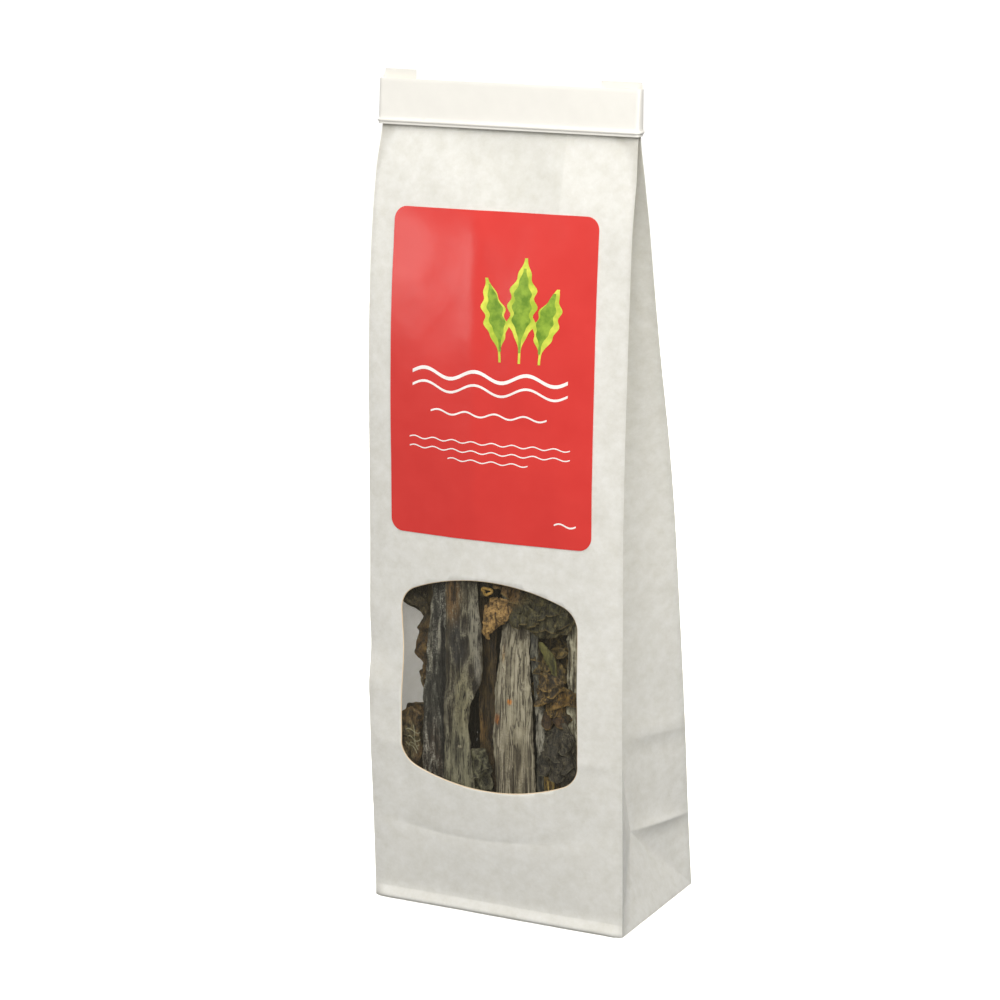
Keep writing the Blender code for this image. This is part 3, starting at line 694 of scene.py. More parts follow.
# %% Shapes of the print
def blade_outline(root, length, width, lean, waves, steps=40):
    """A kelp blade drawn flat: a short stalk, then a leaf with a waved margin, which leans to one side."""
    sides = ([], [])
    for i in range(steps + 1):
        t = i / steps
        half = 0.35 + width / 2 * step(t, 0.12, 0.42) * (1 - step(t, 0.62, 1.04))
        half *= 1 + 0.16 * sin(2 * pi * waves * t) * step(t, 0.15, 0.4)
        middle = root[0] + lean * t**1.5
        for side, sign in zip(sides, (-1, 1)):
            side.append((middle + sign * half, root[1] + length * t))
    return sides[0] + sides[1][::-1]


def wave_outline(left, right, height, rise, pitch, thick):
    """A wave line of even thickness, from left to right."""
    count = int((right - left) / pitch * 16)
    across = [left + (right - left) * i / count for i in range(count + 1)]
    curve = [(u, height + rise * sin(2 * pi * (u - left) / pitch)) for u in across]
    return [(u, v - thick / 2) for u, v in curve] + [(u, v + thick / 2) for u, v in curve[::-1]]


# %% Print on the label
INK_SPREAD = (0.38, 0.62)
PRINT_MESH = 1.5
PRINT_OFFSET = 0.19
PRINT_INK = 0.02
# Foot (x, z) from the label's middle, length, width, lean and number of waves.
BLADES = (
    ((9.5, 5.0), 29.0, 7.4, 1.0, 6.0),
    ((15.4, 5.0), 21.0, 6.0, 5.0, 4.5),
    ((3.6, 5.0), 23.0, 6.0, -5.0, 5.0),
)
# Left end, right end, height, rise, length of a wave and thickness.
WAVE_LINES = (
    (-24.0, 24.0, 0.5, 1.3, 16.0, 1.0),
    (-24.0, 24.0, -3.3, 1.3, 16.0, 0.7),
    (-18.0, 18.0, -10.3, 0.6, 9.0, 0.5),
    (-25.0, 25.0, -18.3, 0.35, 6.25, 0.32),
    (-25.0, 25.0, -20.9, 0.35, 6.25, 0.32),
    (-12.5, 12.5, -23.5, 0.35, 6.25, 0.32),
    (20.5, 27.0, -39.5, 0.5, 6.5, 0.45),
)
rims = [blade_outline(*blade) for blade in BLADES]
hearts = [
    blade_outline((root[0], root[1] + 3.0), length * 0.8, width * 0.62, lean * 0.8, waves)
    for root, length, width, lean, waves in BLADES
]
lines = [wave_outline(*line) for line in WAVE_LINES]
for name, shapes, offset, ink, dark, light, scale in (
    ("blade_rims", rims, PRINT_OFFSET, "yellow green ink", "#a9bf35", "#dfe255", 190),
    ("blades", hearts, PRINT_OFFSET + PRINT_INK + 0.01, "leaf green ink", "#64891f", "#93b238", 260),
    ("waves", lines, PRINT_OFFSET, "white ink", "#f1ebe6", "#fbf8f4", 300),
):
    printed = bmesh.new()
    for shape in shapes:
        draped_sheet(printed, on_label(shape), PRINT_MESH, offset, PRINT_INK)
    ink = mottled_material(ink, dark, light, scale, 3, 0.38, spread=INK_SPREAD, Roughness=0.65)
    finish_piece("label_print_" + name, printed, ink, "label")

# %% [markdown]
# ## The film
#
# The window is closed by a clear film, glued inside the paper all round the hole. It is seen only by what it
# reflects, and by a slight haze over the dark kelp, so it mixes a transparent shader with a glossy one, more
# at a grazing angle. Broad shallow waves in the film keep its reflection from looking like glass.

# %% Film
def film_material():
    """Clear film: see-through, with a thin reflection and a slight haze."""
    material, add, place = new_material("clear film")
    waves = add("TexNoise", {"Vector": place, "Scale": 60, "Detail": 2})
    bump = add("Bump", {"Height": waves, "Strength": 0.5, "Distance": 0.0006})
    glancing = add("Fresnel", {"IOR": 1.35, "Normal": bump})
    share = add("MapRange", {0: glancing, 1: 0.02, 2: 1.0, 3: 0.0115, 4: 0.25})
    inputs = {"Base Color": linear("#cdc6b0"), "Roughness": 0.16, "IOR": 1.49, "Normal": bump}
    both = add("MixShader", {0: share, 1: add("BsdfTransparent"), 2: add("BsdfPrincipled", inputs)})
    add("OutputMaterial", {"Surface": both})
    return material


FILM_MARGIN = 4.5
FILM_BEHIND = 0.32
film = bmesh.new()
draped_sheet(film, window_outline(FILM_MARGIN, steps=6), 2.0, -FILM_BEHIND, 0.05)
finish_piece("film_pane", film, film_material(), "window_film")

# %% [markdown]
# ## The closure tape
#
# A band of coated paper tape is folded round the mouth. A steel wire runs in its lower edge, which makes a
# round bead there, and the band's ends are bent to the back, where they stand up a little past the fold.
# The band was pressed shut by hand, so it is slightly waved. Its section is carried along its path.

# %% The tape's section and path
TAPE = 0.3
BEAD_RADIUS = 0.5
BEAD_MIDDLE = 1.45
TAPE_BOTTOM = 226.9
TAPE_TOP = 239.95
TAPE_HEIGHT = TAPE_TOP - TAPE_BOTTOM
TAPE_LEAN = 1.1
TAPE_SIDE = 39.7
TAPE_FRONT = -18.25
TAPE_BACK = -16.05
TAPE_CORNER = 0.35
# Side, length of the tab behind, and height of its top.
TABS = ((-1, 10.0, 242.4), (1, 12.4, 241.6))


def tape_section():
    """The band's section as (out, up): flat inside, with a round bead at the lower edge outside."""
    bead = arc((TAPE - 0.1, BEAD_MIDDLE), BEAD_RADIUS, -80, 68, 10)
    above = [(TAPE, up) for up in (2.6, 4.0, 6.0, 8.0, 10.0, 11.2, 11.5, 11.9, TAPE_HEIGHT - 0.15)]
    inner = [(0.0, up) for up in (TAPE_HEIGHT, 8.0, 4.0, BEAD_MIDDLE, 0.4)]
    return [(TAPE - 0.05, 0.35), (TAPE, 0.6), *bead, *above, (TAPE - 0.05, TAPE_HEIGHT), *inner]


def tape_plan(up):
    """The band's inner face in plan at one height: places, the way out, and how much of a tab each is."""
    front = TAPE_FRONT - TAPE_LEAN * (1 - up)
    ends = []
    for sign, tab, _ in TABS:
        xs = (TAPE_SIDE - tab, TAPE_SIDE - tab / 2, TAPE_SIDE - TAPE_CORNER - 1)
        side = [(sign * x, TAPE_BACK, 0.0, 1.0, 1.0) for x in xs]
        for turn in (90, 45, 0, 0, -45, -90):
            c, s = cos(radians(turn)), sin(radians(turn))
            corner_y = TAPE_BACK - TAPE_CORNER if len(side) < 6 else front + TAPE_CORNER
            x, y = sign * (TAPE_SIDE - TAPE_CORNER + TAPE_CORNER * c), corner_y + TAPE_CORNER * s
            side.append((x, y, sign * c, s, step(turn, 0, 90)))
        ends.append(side)
    across = [(-TAPE_SIDE + 1 + i * (2 * TAPE_SIDE - 2) / 60, front, 0.0, -1.0, 0.0) for i in range(61)]
    return ends[0] + across + ends[1][::-1]


def crimp(x, z):
    """The band's slight waves: slanting dents along its middle, where fingers pressed it shut."""
    slant = sin((x + 0.9 * (z - 233)) * 1.25)
    return 0.10 * slant * dent(0, z, 0, 233.4, 1, 2.6) + 0.1 * unevenness(14, 5.2, 6, x, z)


# %% Tape
tape = bmesh.new()
rings = []
for i in range(len(tape_plan(0.0))):
    ring = []
    for out, up in tape_section():
        x, y, out_x, out_y, tab = tape_plan(up / TAPE_HEIGHT)[i]
        top = TAPE_TOP + tab * (TABS[0 if x < 0 else 1][2] - TAPE_TOP)
        z = TAPE_BOTTOM + up * (top - TAPE_BOTTOM) / TAPE_HEIGHT
        reach = out + (crimp(x, z) if out > 0 and out_y < -0.9 else 0.0)
        ring.append(tape.verts.new((x + out_x * reach, y + out_y * reach, z)))
    rings.append(ring)


def skin(bm, rings, closed=False):
    """Adds faces between rings of points, and caps unless the last ring goes on to the first."""
    pairs = zip(rings, rings[1:] + rings[:1]) if closed else zip(rings, rings[1:])
    faces = []
    for a, b in pairs:
        for quad in zip(a, a[1:] + a[:1], b[1:] + b[:1], b):
            faces.append(bm.faces.new(quad))
    if not closed:
        faces += [bm.faces.new(rings[0]), bm.faces.new(rings[-1])]
    bmesh.ops.recalc_face_normals(bm, faces=faces)


skin(tape, rings)
tape_bump = (1500, 3, 0.3, 0.00003)
coated = mottled_material("coated paper tape", "#dfddd6", "#e6e4dd", 160, 4, 0.45, bump=tape_bump)
finish_piece("tape_band", tape, coated, "closure_tape", smooth_angle=50)

# %% [markdown]
# ## Dried sugar kelp
#
# A blade of sugar kelp is a long thin leaf with a plain middle and waved margins. Cut into lengths and dried,
# the middle gives flat strips that shrink sideways, so they wrinkle lengthwise. The margins crumple into
# frills. The sugar and salt in it come out as a pale powder, mostly on ridges and on flat places.
#
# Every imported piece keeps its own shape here. Its mesh is cut finer and softened, and then dried: long
# wrinkles, a crumple that moves both faces of the sheet alike, and margins torn a little in and out. How deep
# a point lies in a wrinkle, and how near a margin it is, are kept as attributes for its material.

# %% Finer meshes
FINE = 0.85
COARSE = 3.0
SEEN = (30.0, 110.0)


def cut_finer(bm, fine):
    """Halves the long edges again and again, down to the fine length where the window shows the piece."""
    for _ in range(8):
        long_edges = []
        for edge in bm.edges:
            middle = (edge.verts[0].co.z + edge.verts[1].co.z) / 2
            if edge.calc_length() > (fine if SEEN[0] < middle < SEEN[1] else COARSE):
                long_edges.append(edge)
        options = {"use_grid_fill": True, "use_single_edge": True}
        bmesh.ops.subdivide_edges(bm, edges=long_edges, cuts=1, **options)
        squares = [f for f in bm.faces if len(f.verts) > 3]
        bmesh.ops.triangulate(bm, faces=squares, quad_method="SHORT_EDGE")


def tree_of(points):
    """A search tree over points."""
    tree = KDTree(len(points))
    for i, point in enumerate(points):
        tree.insert(point, i)
    tree.balance()
    return tree


def rim_tree(bm):
    """The points along the margins of a thin sheet, where its faces meet at a sharp angle."""
    points = []
    for edge in bm.edges:
        if edge.is_manifold and edge.calc_face_angle(0.0) > radians(55):
            a, b = (v.co for v in edge.verts)
            steps = int((b - a).length / 0.7) + 1
            points += [a.lerp(b, i / steps) for i in range(steps + 1)]
    return tree_of(points or [Vector((0, 0, 999))])


# %% Drying
noise.seed_set(7)        # without this, noise_vector would start from the clock at every run
FILM_ROOM = 0.75
RIM_REACH = 1.6


def wrinkle(co, pitch, length, shift):
    """A ridged noise, long in height: 1 on a sharp ridge and near 0 in the broad hollows between."""
    place = Vector((co.x / pitch + shift, co.y / pitch, co.z / length))
    return 1 - min(abs(noise.noise(place)) * 2.2, 1.0)


def dry_out(bm, tree, style, shift):
    """Moves a sheet's points as drying does, and keeps how deep and how near a margin each one lies."""
    pitch, length, deep, crumple, crumple_size, torn = style
    groove = bm.verts.layers.float.new("groove")
    rim = bm.verts.layers.float.new("rim")
    bm.normal_update()
    seed = Vector((shift, 0, 0))
    moves = []
    for v in bm.verts:
        coarse = wrinkle(v.co, pitch, length, shift)
        fine = wrinkle(v.co, pitch * 0.42, length * 0.5, shift + 9)
        ridge = 0.7 * coarse + 0.3 * fine
        v[groove] = 1 - ridge
        v[rim] = max(0.0, 1 - tree.find(v.co)[2] / RIM_REACH)
        move = v.normal * (deep * (ridge - 0.55))
        move += noise.noise_vector(v.co / crumple_size + seed) * crumple
        move += noise.noise_vector(v.co / 1.9 - seed) * torn * v[rim]
        moves.append(v.co + move)
    for v, place in zip(bm.verts, moves):
        v.co = place
        v.co.y = max(v.co.y, front_y(v.co.x, v.co.z) + FILM_ROOM)


def dried_piece(node, style, material, fine=FINE, soft=4):
    """A packed kelp piece, cut finer, softened and dried."""
    bm = bmesh.new()
    bm.from_mesh(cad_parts[node].data)
    bm.transform(Matrix.Scale(1 / MM, 4))
    bmesh.ops.remove_doubles(bm, verts=bm.verts, dist=0.01)
    tree = rim_tree(bm)
    cut_finer(bm, fine)
    every_way = {"use_axis_x": True, "use_axis_y": True, "use_axis_z": True}
    for _ in range(soft):
        bmesh.ops.smooth_vert(bm, verts=bm.verts, factor=0.5, **every_way)
    dry_out(bm, tree, style, shift=float(sum(map(ord, node)) % 97))
    finish_piece("dried_" + node, bm, material, node, smooth_angle=80)


# %% [markdown]
# ## The look of dried blade
#
# Dry blade is nearly black where it is thick, brown or olive where light goes through it, and pale where the
# powder lies. One material function builds these in layers over Object coordinates in real millimetres: fine
# streaks lengthwise, a mottle, painted shade deep in the wrinkles, a few patches at their own places, powder
# on the ridges, dark cracks and light margins. Each piece gets its own colours and its own share of each
# layer.

# %% Kelp material
FOREVER = 1.0


def kelp_material(name, colours, powder, cracks, margin, streaked=0.5, length=6.0, patches=()):
    """Dried blade in three tones, with the colours and the shares of its powder, cracks and margins."""
    material, add, place = new_material("dried blade " + name)
    dark, middle, light, dust, crack, edge = map(linear, colours.split())
    along = add("Mapping", {"Vector": place, "Scale": (1.0, 1.0, 1 / length)})
    straight = add("Mapping", {"Vector": place, "Scale": (1.0, 1.0, 0.3 / length)})
    fine = {"Vector": along, "Scale": 1250, "Detail": 5, "Roughness": 0.68, "Distortion": 0.5}
    streaks = add("TexNoise", fine)
    mottle = add("TexNoise", {"Vector": place, "Scale": 750, "Detail": 6, "Roughness": 0.78})
    broad = add("TexNoise", {"Vector": along, "Scale": 170, "Detail": 3})
    grain = add("TexNoise", {"Vector": place, "Scale": 3000, "Detail": 3, "Roughness": 0.7})
    lines = add("TexNoise", {"Vector": straight, "Scale": 900, "Detail": 3, "Roughness": 0.6})
    groove = add("Attribute", attribute_name="groove").outputs["Fac"]
    rim = add("Attribute", attribute_name="rim").outputs["Fac"]

    body = add("Mix", {0: streaked, 2: mottle, 3: streaks})
    # Painted shade: the tone is darker deep in the wrinkles than on their ridges.
    body = add("Math", {0: groove, 1: -0.3, 2: body}, operation="MULTIPLY_ADD")
    low = add("MapRange", {0: body, 1: 0.22, 2: 0.38})
    high = add("MapRange", {0: body, 1: 0.38, 2: 0.54})
    tone = add("Mix", {0: low, 6: dark, 7: middle}, data_type="RGBA")
    tone = add("Mix", {0: high, 6: tone, 7: light}, data_type="RGBA")

    varied = add("MapRange", {0: body, 1: 0.2, 2: 0.6, 3: 0.45, 4: 1.6}, clamp=False)
    for x, z, reach_x, reach_z, colour, share in patches:
        centre, reach = (x * MM, 0, z * MM), (reach_x * MM, FOREVER, reach_z * MM)
        local = add("Mapping", {"Vector": place, "Location": centre, "Scale": reach}, vector_type="TEXTURE")
        far = add("VectorMath", {0: local}, operation="LENGTH")
        uneven = add("Math", {0: body, 1: -1.0, 2: far}, operation="MULTIPLY_ADD")
        uneven = add("Math", {0: grain, 1: -1.2, 2: uneven}, operation="MULTIPLY_ADD")
        inside = add("MapRange", {0: uneven, 1: 0.3, 2: -0.35, 3: 0.0, 4: share})
        shaded = add("Mix", {0: 1.0, 6: varied, 7: linear(colour)}, data_type="RGBA", blend_type="MULTIPLY")
        tone = add("Mix", {0: inside, 6: tone, 7: shaded}, data_type="RGBA")

    lying = add("Math", {0: broad, 1: 0.8, 2: -0.4}, operation="MULTIPLY_ADD")
    for layer, weight in ((groove, -0.3), (streaks, 0.6), (grain, 0.9)):
        lying = add("Math", {0: layer, 1: weight, 2: lying}, operation="MULTIPLY_ADD")
    start = 0.76 - 0.42 * powder
    powdered = add("MapRange", {0: lying, 1: start, 2: start + 0.2})
    tone = add("Mix", {0: powdered, 6: tone, 7: dust}, data_type="RGBA")

    off = add("Math", {0: lines, 1: 0.5}, operation="SUBTRACT")
    off = add("Math", {0: off}, operation="ABSOLUTE")
    off = add("Math", {0: groove, 1: -0.03, 2: off}, operation="MULTIPLY_ADD")
    cracked = add("MapRange", {0: off, 1: 0.035 * cracks, 2: 0.0, 3: 0.0, 4: 0.85})
    tone = add("Mix", {0: cracked, 6: tone, 7: crack}, data_type="RGBA")

    thin = add("MapRange", {0: rim, 1: 0.72, 2: 1.0, 3: 0.0, 4: margin})
    tone = add("Mix", {0: thin, 6: tone, 7: edge}, data_type="RGBA")

    relief = add("Math", {0: streaks, 1: 0.8, 2: mottle}, operation="MULTIPLY_ADD")
    relief = add("Math", {0: cracked, 1: -0.3, 2: relief}, operation="MULTIPLY_ADD")
    bump = add("Bump", {"Height": relief, "Strength": 0.9, "Distance": 0.0005})
    dull = add("MapRange", {0: mottle, 1: 0.35, 2: 0.65, 3: 0.43, 4: 0.7})
    inputs = {"Base Color": tone, "Roughness": dull, "Normal": bump, "IOR": 1.45}
    add("OutputMaterial", {"Surface": add("BsdfPrincipled", inputs)})
    return material


# %% [markdown]
# The styles say how a piece dried: the spacing, length and depth of its wrinkles, how far and in what size it
# crumpled, and how torn its margins are, all in millimetres. Then comes each piece's look: the colours of
# its three tones, of its powder, cracks and margin, the shares of these last three, how much its streaks
# count against its mottle, and how long they are drawn. Patches are stains, worn places and shadows.

# %% Kelp pieces at the window
STRIP = (1.9, 9.0, 0.22, 0.4, 6.0, 0.35)
CRACKED = (1.6, 16.0, 0.28, 0.3, 7.0, 0.3)
FRILL = (2.4, 3.6, 0.5, 1.2, 3.6, 0.6)
BUMPY = (1.3, 1.5, 0.6, 0.8, 2.4, 0.6)
LEAF = (1.5, 8.0, 0.15, 0.4, 4.0, 0.3)
RUFFLED = (1.5, 2.2, 0.3, 1.1, 2.9, 0.5)

# Style, colours, shares of powder, cracks and margin, share of the streaks, and their length.
KELP = {
    "strip_dark": (STRIP, "#25241f #403f37 #5a5a4f #aeab9c #191712 #777362", 0.24, 0.5, 0.25, 0.5, 6.0),
    "strip_olive": (STRIP, "#342e23 #585240 #7b7560 #8b8671 #1e1a12 #777262", 0.12, 0.4, 0.3, 0.5, 6.0),
    "strip_pale": (CRACKED, "#776f5c #9f987f #bcb59b #aea58e #3a3327 #a0987f", 0.42, 1.3, 0.3, 0.5, 12.0),
    "strip_narrow": (STRIP, "#353533 #5a594d #84816f #98937f #1a1a17 #7b7765", 0.18, 0.5, 0.3, 0.5, 6.0),
    "strip_brown": (STRIP, "#2e2518 #4a3c24 #635335 #7a6a4d #17110b #735c38", 0.04, 0.5, 0.4, 0.5, 6.0),
    "strip_edge": (STRIP, "#645d48 #a7a187 #e7e3c4 #aaa287 #241f16 #a39b82", 0.25, 0.5, 0.4, 0.5, 6.0),
    "frill_left": (FRILL, "#372d1c #5b4628 #7d6536 #766f57 #1b140d #7d714c", 0.03, 0.3, 0.5, 0.3, 1.8),
    "frill_upper": (FRILL, "#2b2818 #47432a #655e3a #776e53 #17130c #847244", 0.03, 0.3, 0.6, 0.25, 1.8),
    "frill_middle": (FRILL, "#322a18 #594b29 #836e39 #7d6d4a #17120a #876f3b", 0.03, 0.35, 0.6, 0.25, 1.8),
    "frill_lower": (FRILL, "#26241a #403b30 #5c5640 #6f6a56 #161511 #7a755e", 0.05, 0.3, 0.5, 0.35, 1.8),
    "frill_gold": (BUMPY, "#2c2314 #4e4027 #977b46 #a5884a #1f170a #a88644", 0.06, 0.3, 0.6, 0.1, 1.8),
    "frill_foot": (FRILL, "#343225 #56543f #7b785c #757057 #1b1a13 #7d775e", 0.06, 0.3, 0.5, 0.3, 1.8),
    "flake_ochre": (BUMPY, "#4c3a20 #8f7142 #c49c60 #b69354 #3a2a14 #b08a47", 0.12, 0.25, 0.6, 0.0, 1.8),
    "leaf_green": (LEAF, "#3a381c #5c592e #78743c #777347 #201f11 #77713a", 0.05, 0.2, 0.5, 0.4, 6.0),
    "curl_upper": (LEAF, "#221d11 #3a331f #54492a #77683c #17130a #7d6a38", 0.05, 0.3, 0.5, 0.2, 6.0),
    "curl_lower": (LEAF, "#53411f #957a3e #e0c165 #877854 #1a150c #938049", 0.05, 0.3, 0.8, 0.2, 6.0),
}
# Middle (x, z), reach in x and z, colour and share.
PATCHES = {
    "strip_dark": (
        (-20.9, 85, 0.7, 14, "#989481", 0.8),
        (-18.2, 82, 0.6, 5, "#8d8979", 0.7),
        (-21, 42, 4, 14, "#463728", 0.6),
        # Painted shadow: a dark line in the gap beside the next strip.
        (-16.9, 70, 0.7, 60, "#171610", 1.0),
    ),
    "strip_olive": (
        # Painted shadow: a dark line in the gap beside the next strip.
        (-16.7, 75, 0.6, 60, "#171610", 1.0),
        (-12.7, 94, 2.6, 9, "#6b502c", 0.9),
        (-11.3, 81, 3.2, 8, "#2f2e2c", 0.95),
        (-6.2, 86, 2.0, 11, "#8a8676", 0.8),
        (-5.2, 74, 1.0, 5, "#868276", 0.7),
        (-9.4, 61, 3.2, 12, "#928c6d", 0.95),
        (-11.0, 45, 5.0, 12, "#7d7a62", 0.9),
        (-15.2, 58, 0.6, 12, "#767261", 0.6),
        (-11.1, 50.3, 0.7, 0.5, "#d9cfae", 1.0),
    ),
    "strip_pale": (
        (4.5, 65.6, 0.8, 0.9, "#d08842", 1.0),
        (0.6, 59.8, 0.9, 1.7, "#cf823f", 1.0),
        (1.9, 79.5, 0.5, 3.0, "#a0804e", 0.8),
        (5.5, 43, 7.0, 14, "#6f664f", 0.7),
    ),
    "strip_narrow": ((13.2, 58, 2.2, 9, "#aaa593", 0.9),),
    "strip_brown": ((-6.4, 55, 1.5, 4, "#84673a", 0.8),),
    "frill_left": ((-27.6, 91, 9, 7, "#3c3723", 0.8), (-27.8, 50, 2.5, 5, "#7f7a57", 0.45)),
    "frill_upper": ((3.4, 97.3, 5.5, 4, "#6b4f27", 0.85),),
    "frill_middle": ((20.5, 67.5, 4.5, 3.5, "#785b28", 0.85), (17.5, 61, 5, 3.5, "#452f1d", 0.8)),
}
blades = {}
for name, (style, *look) in KELP.items():
    node = "kelp_" + name
    blades[node] = kelp_material(node, *look, patches=PATCHES.get(name, ()))
    dried_piece(node, style, blades[node])

# %% [markdown]
# ## Ruffles
#
# A frill is a margin that grew longer than the blade beside it, so it can't lie flat: it stands in waves that
# get deeper towards its free edge. Each ruffle is a ribbon that hangs from a spine and waves more and more
# away from it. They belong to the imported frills, on which they lie, and dry in the same way.

# %% Ruffles on the frills
RUFFLE_SHEET = 0.35
RUFFLE_MESH = 0.45


def along_curve(points, s):
    """A place on the smooth curve that three or four points steer, from s = 0 to 1."""
    while len(points) > 1:
        points = [Vector(a).lerp(Vector(b), s) for a, b in zip(points, points[1:])]
    return points[0]


def ruffle(bm, spine, width, waves, depth):
    """Adds a frilled ribbon that hangs from its spine. Returns the points of its free edge."""
    length = sum((Vector(b) - Vector(a)).length for a, b in zip(spine, spine[1:]))
    columns = int(length / RUFFLE_MESH)
    rows = int(width / RUFFLE_MESH)
    grid = []
    for j in range(rows + 1):
        t = j / rows
        line = []
        for i in range(columns + 1):
            s = i / columns
            start = along_curve(spine, s)
            turn = 2 * pi * waves * s + 1.4 * sin(5 * s + width) + 0.8 * t
            drop = width * t * (0.3 + 0.7 * sin(pi * s) ** 0.4) * (1 + 0.7 * noise.noise(start / 3.1))
            forward = depth * t * sin(turn) - 0.12 * drop
            line.append(bm.verts.new(start + Vector((0.7 * depth * t * cos(turn), forward, -drop))))
        grid.append(line)
    faces = []
    for upper, lower in zip(grid, grid[1:]):
        for quad in zip(upper, upper[1:], lower[1:], lower):
            faces.append(bm.faces.new(quad))
    rim = [v.co.copy() for v in grid[-1]]
    behind = push_out(bm, faces, (0, RUFFLE_SHEET, 0), use_keep_orig=True)
    bmesh.ops.recalc_face_normals(bm, faces=list({f for v in behind for f in v.link_faces} | set(faces)))
    return rim


# Each ruffle's spine, its width, its number of waves and their depth.
RUFFLES = {
    "kelp_frill_upper": (
        (((5.3, -27.0, 95.4), (8.8, -27.8, 97.3), (13.6, -26.8, 94.3)), 8.5, 3.0, 1.2),
        (((10.1, -25.6, 91.7), (14.4, -26.1, 90.3), (18.5, -25.9, 92.6), (24.5, -25.2, 95.7)), 4.4, 4.5, 1.4),
        (((11.7, -25.4, 96.2), (15.5, -26.6, 98.4), (21.5, -25.6, 97.0)), 5.0, 3.5, 1.4),
        (((-1.6, -26.2, 101.6), (3.9, -26.6, 101.3), (8.5, -26.2, 98.5)), 4.6, 3.0, 1.2),
    ),
    "kelp_frill_middle": (
        (((10.4, -22.8, 83.4), (14.9, -23.6, 81.3), (20.4, -22.8, 83.4)), 6.5, 3.0, 1.4),
        (((11.2, -23.4, 77.6), (16.1, -24.2, 79.8), (21.0, -23.2, 77.0)), 6.0, 3.5, 1.3),
        (((17.2, -23.8, 70.5), (21.1, -24.8, 73.3), (25.0, -23.8, 69.8)), 6.5, 2.5, 1.4),
        (((13.6, -23.2, 65.7), (18.5, -24.2, 66.6), (23.0, -23.2, 64.4)), 6.4, 2.5, 1.2),
    ),
    "kelp_frill_gold": (
        (((12.8, -25.0, 74.6), (17.6, -26.1, 76.8), (21.3, -24.8, 73.2)), 5.0, 2.5, 1.4),
        (((12.2, -25.1, 70.2), (15.4, -26.1, 73.0), (19.0, -25.0, 69.0)), 4.6, 2.0, 1.3),
    ),
    "kelp_frill_lower": (
        (((15.4, -25.2, 58.0), (19.9, -26.1, 61.3), (24.4, -25.0, 57.4)), 8.5, 2.5, 1.4),
        (((13.9, -25.6, 51.2), (18.7, -26.4, 53.4), (23.2, -25.4, 51.6)), 7.0, 3.0, 1.3),
    ),
    "kelp_frill_left": (
        (((-31.0, -23.8, 96.0), (-26.9, -24.4, 96.1), (-22.3, -24.0, 90.1)), 5.0, 2.5, 1.1),
        (((-31.6, -24.0, 56.5), (-27.7, -24.8, 61.8), (-24.5, -24.2, 57.4)), 8.0, 2.5, 1.2),
        (((-32.6, -23.6, 51.0), (-29.2, -24.2, 53.0), (-24.5, -23.8, 49.6)), 9.0, 2.5, 1.2),
    ),
    "kelp_frill_foot": ((((-9.3, -24.2, 48.0), (-5.9, -24.9, 51.2), (-2.9, -24.2, 47.2)), 8.0, 2.0, 1.1),),
}
for node, group in RUFFLES.items():
    frill = bmesh.new()
    free = [point for shape in group for point in ruffle(frill, *shape)]
    dry_out(frill, tree_of(free), RUFFLED, shift=3.0 * len(free))
    finish_piece(node + "_ruffles", frill, blades[node], node, smooth_angle=80)

# %% [markdown]
# Two small things catch the eye in the photo: a golden margin that dried into a ring at the top, and pale
# threads of a fine weed on the blade at the lower left. Each is a thin tube along a curve.

# %% Ring and threads
TUBE_SIDES = 6


def tube(bm, path, radius, closed):
    """Adds a round tube along a path of points."""
    rings = []
    last = len(path) - 1
    for i, point in enumerate(path):
        before = path[i - 1] if closed or i else path[0]
        after = path[(i + 1) % len(path)] if closed or i < last else path[last]
        along = (after - before).normalized()
        side = along.cross(Vector((0, 1, 0))).normalized()
        up = side.cross(along)
        turns = [2 * pi * k / TUBE_SIDES for k in range(TUBE_SIDES)]
        rings.append([bm.verts.new(point + radius * (cos(a) * side + sin(a) * up)) for a in turns])
    skin(bm, rings, closed)


RING_PLACE = Vector((-2.0, -27.2, 97.6))
RING_STEPS = 28
loop = []
for i in range(RING_STEPS):
    turn = 2 * pi * i / RING_STEPS
    out = 1.15 + 0.25 * sin(3 * turn + 1)
    loop.append(RING_PLACE + Vector((1.15 * out * cos(turn), 0.35 * sin(2 * turn), 0.8 * out * sin(turn))))
curled = bmesh.new()
tube(curled, loop, 0.45, closed=True)

THREADS = (
    ((-28.9, -26.2, 52.9), (-27.0, -26.8, 54.5), (-25.5, -26.4, 51.0), (-24.3, -26.1, 52.6)),
    ((-28.4, -26.2, 50.6), (-26.6, -26.7, 52.6), (-26.2, -26.6, 48.2), (-24.2, -26.2, 50.4)),
    ((-28.0, -26.1, 47.8), (-27.4, -26.6, 51.4), (-25.0, -26.6, 47.0), (-24.6, -26.2, 48.8)),
    ((-26.5, -26.3, 54.6), (-25.2, -26.7, 52.2), (-26.8, -26.6, 50.0), (-24.9, -26.2, 47.2)),
    ((-29.0, -26.1, 49.2), (-27.9, -26.5, 47.4), (-26.7, -26.5, 49.8), (-25.3, -26.2, 46.0)),
)
THREAD_STEPS = 22
threads = bmesh.new()
for steering in THREADS:
    path = [along_curve(steering, i / THREAD_STEPS) for i in range(THREAD_STEPS + 1)]
    tube(threads, path, 0.09, closed=False)

GOLD = ("#5a4420 #8f6f32 #c09a4e #b8985a #2b2010 #c09a4e", 0.1, 0.3, 0.0, 0.5, 1.0)
WEED = ("#6b6750 #858165 #a09c7e #bdb99a #5b5843 #b5b190", 0.1, 0.1, 0.0, 0.5, 1.0)
for node, end, bm, name, look in (
    ("kelp_curl_upper", "_ring", curled, "golden margin", GOLD),
    ("kelp_frill_left", "_threads", threads, "pale weed thread", WEED),
):
    finish_piece(node + end, bm, kelp_material(name, *look), node, smooth_angle=80)

# %% [markdown]
# Behind these stand more strips and frills, down to the foot and back to the bag's rear wall. The window
# shows only slivers of them, in shade, so they share one dark material and are cut less fine.

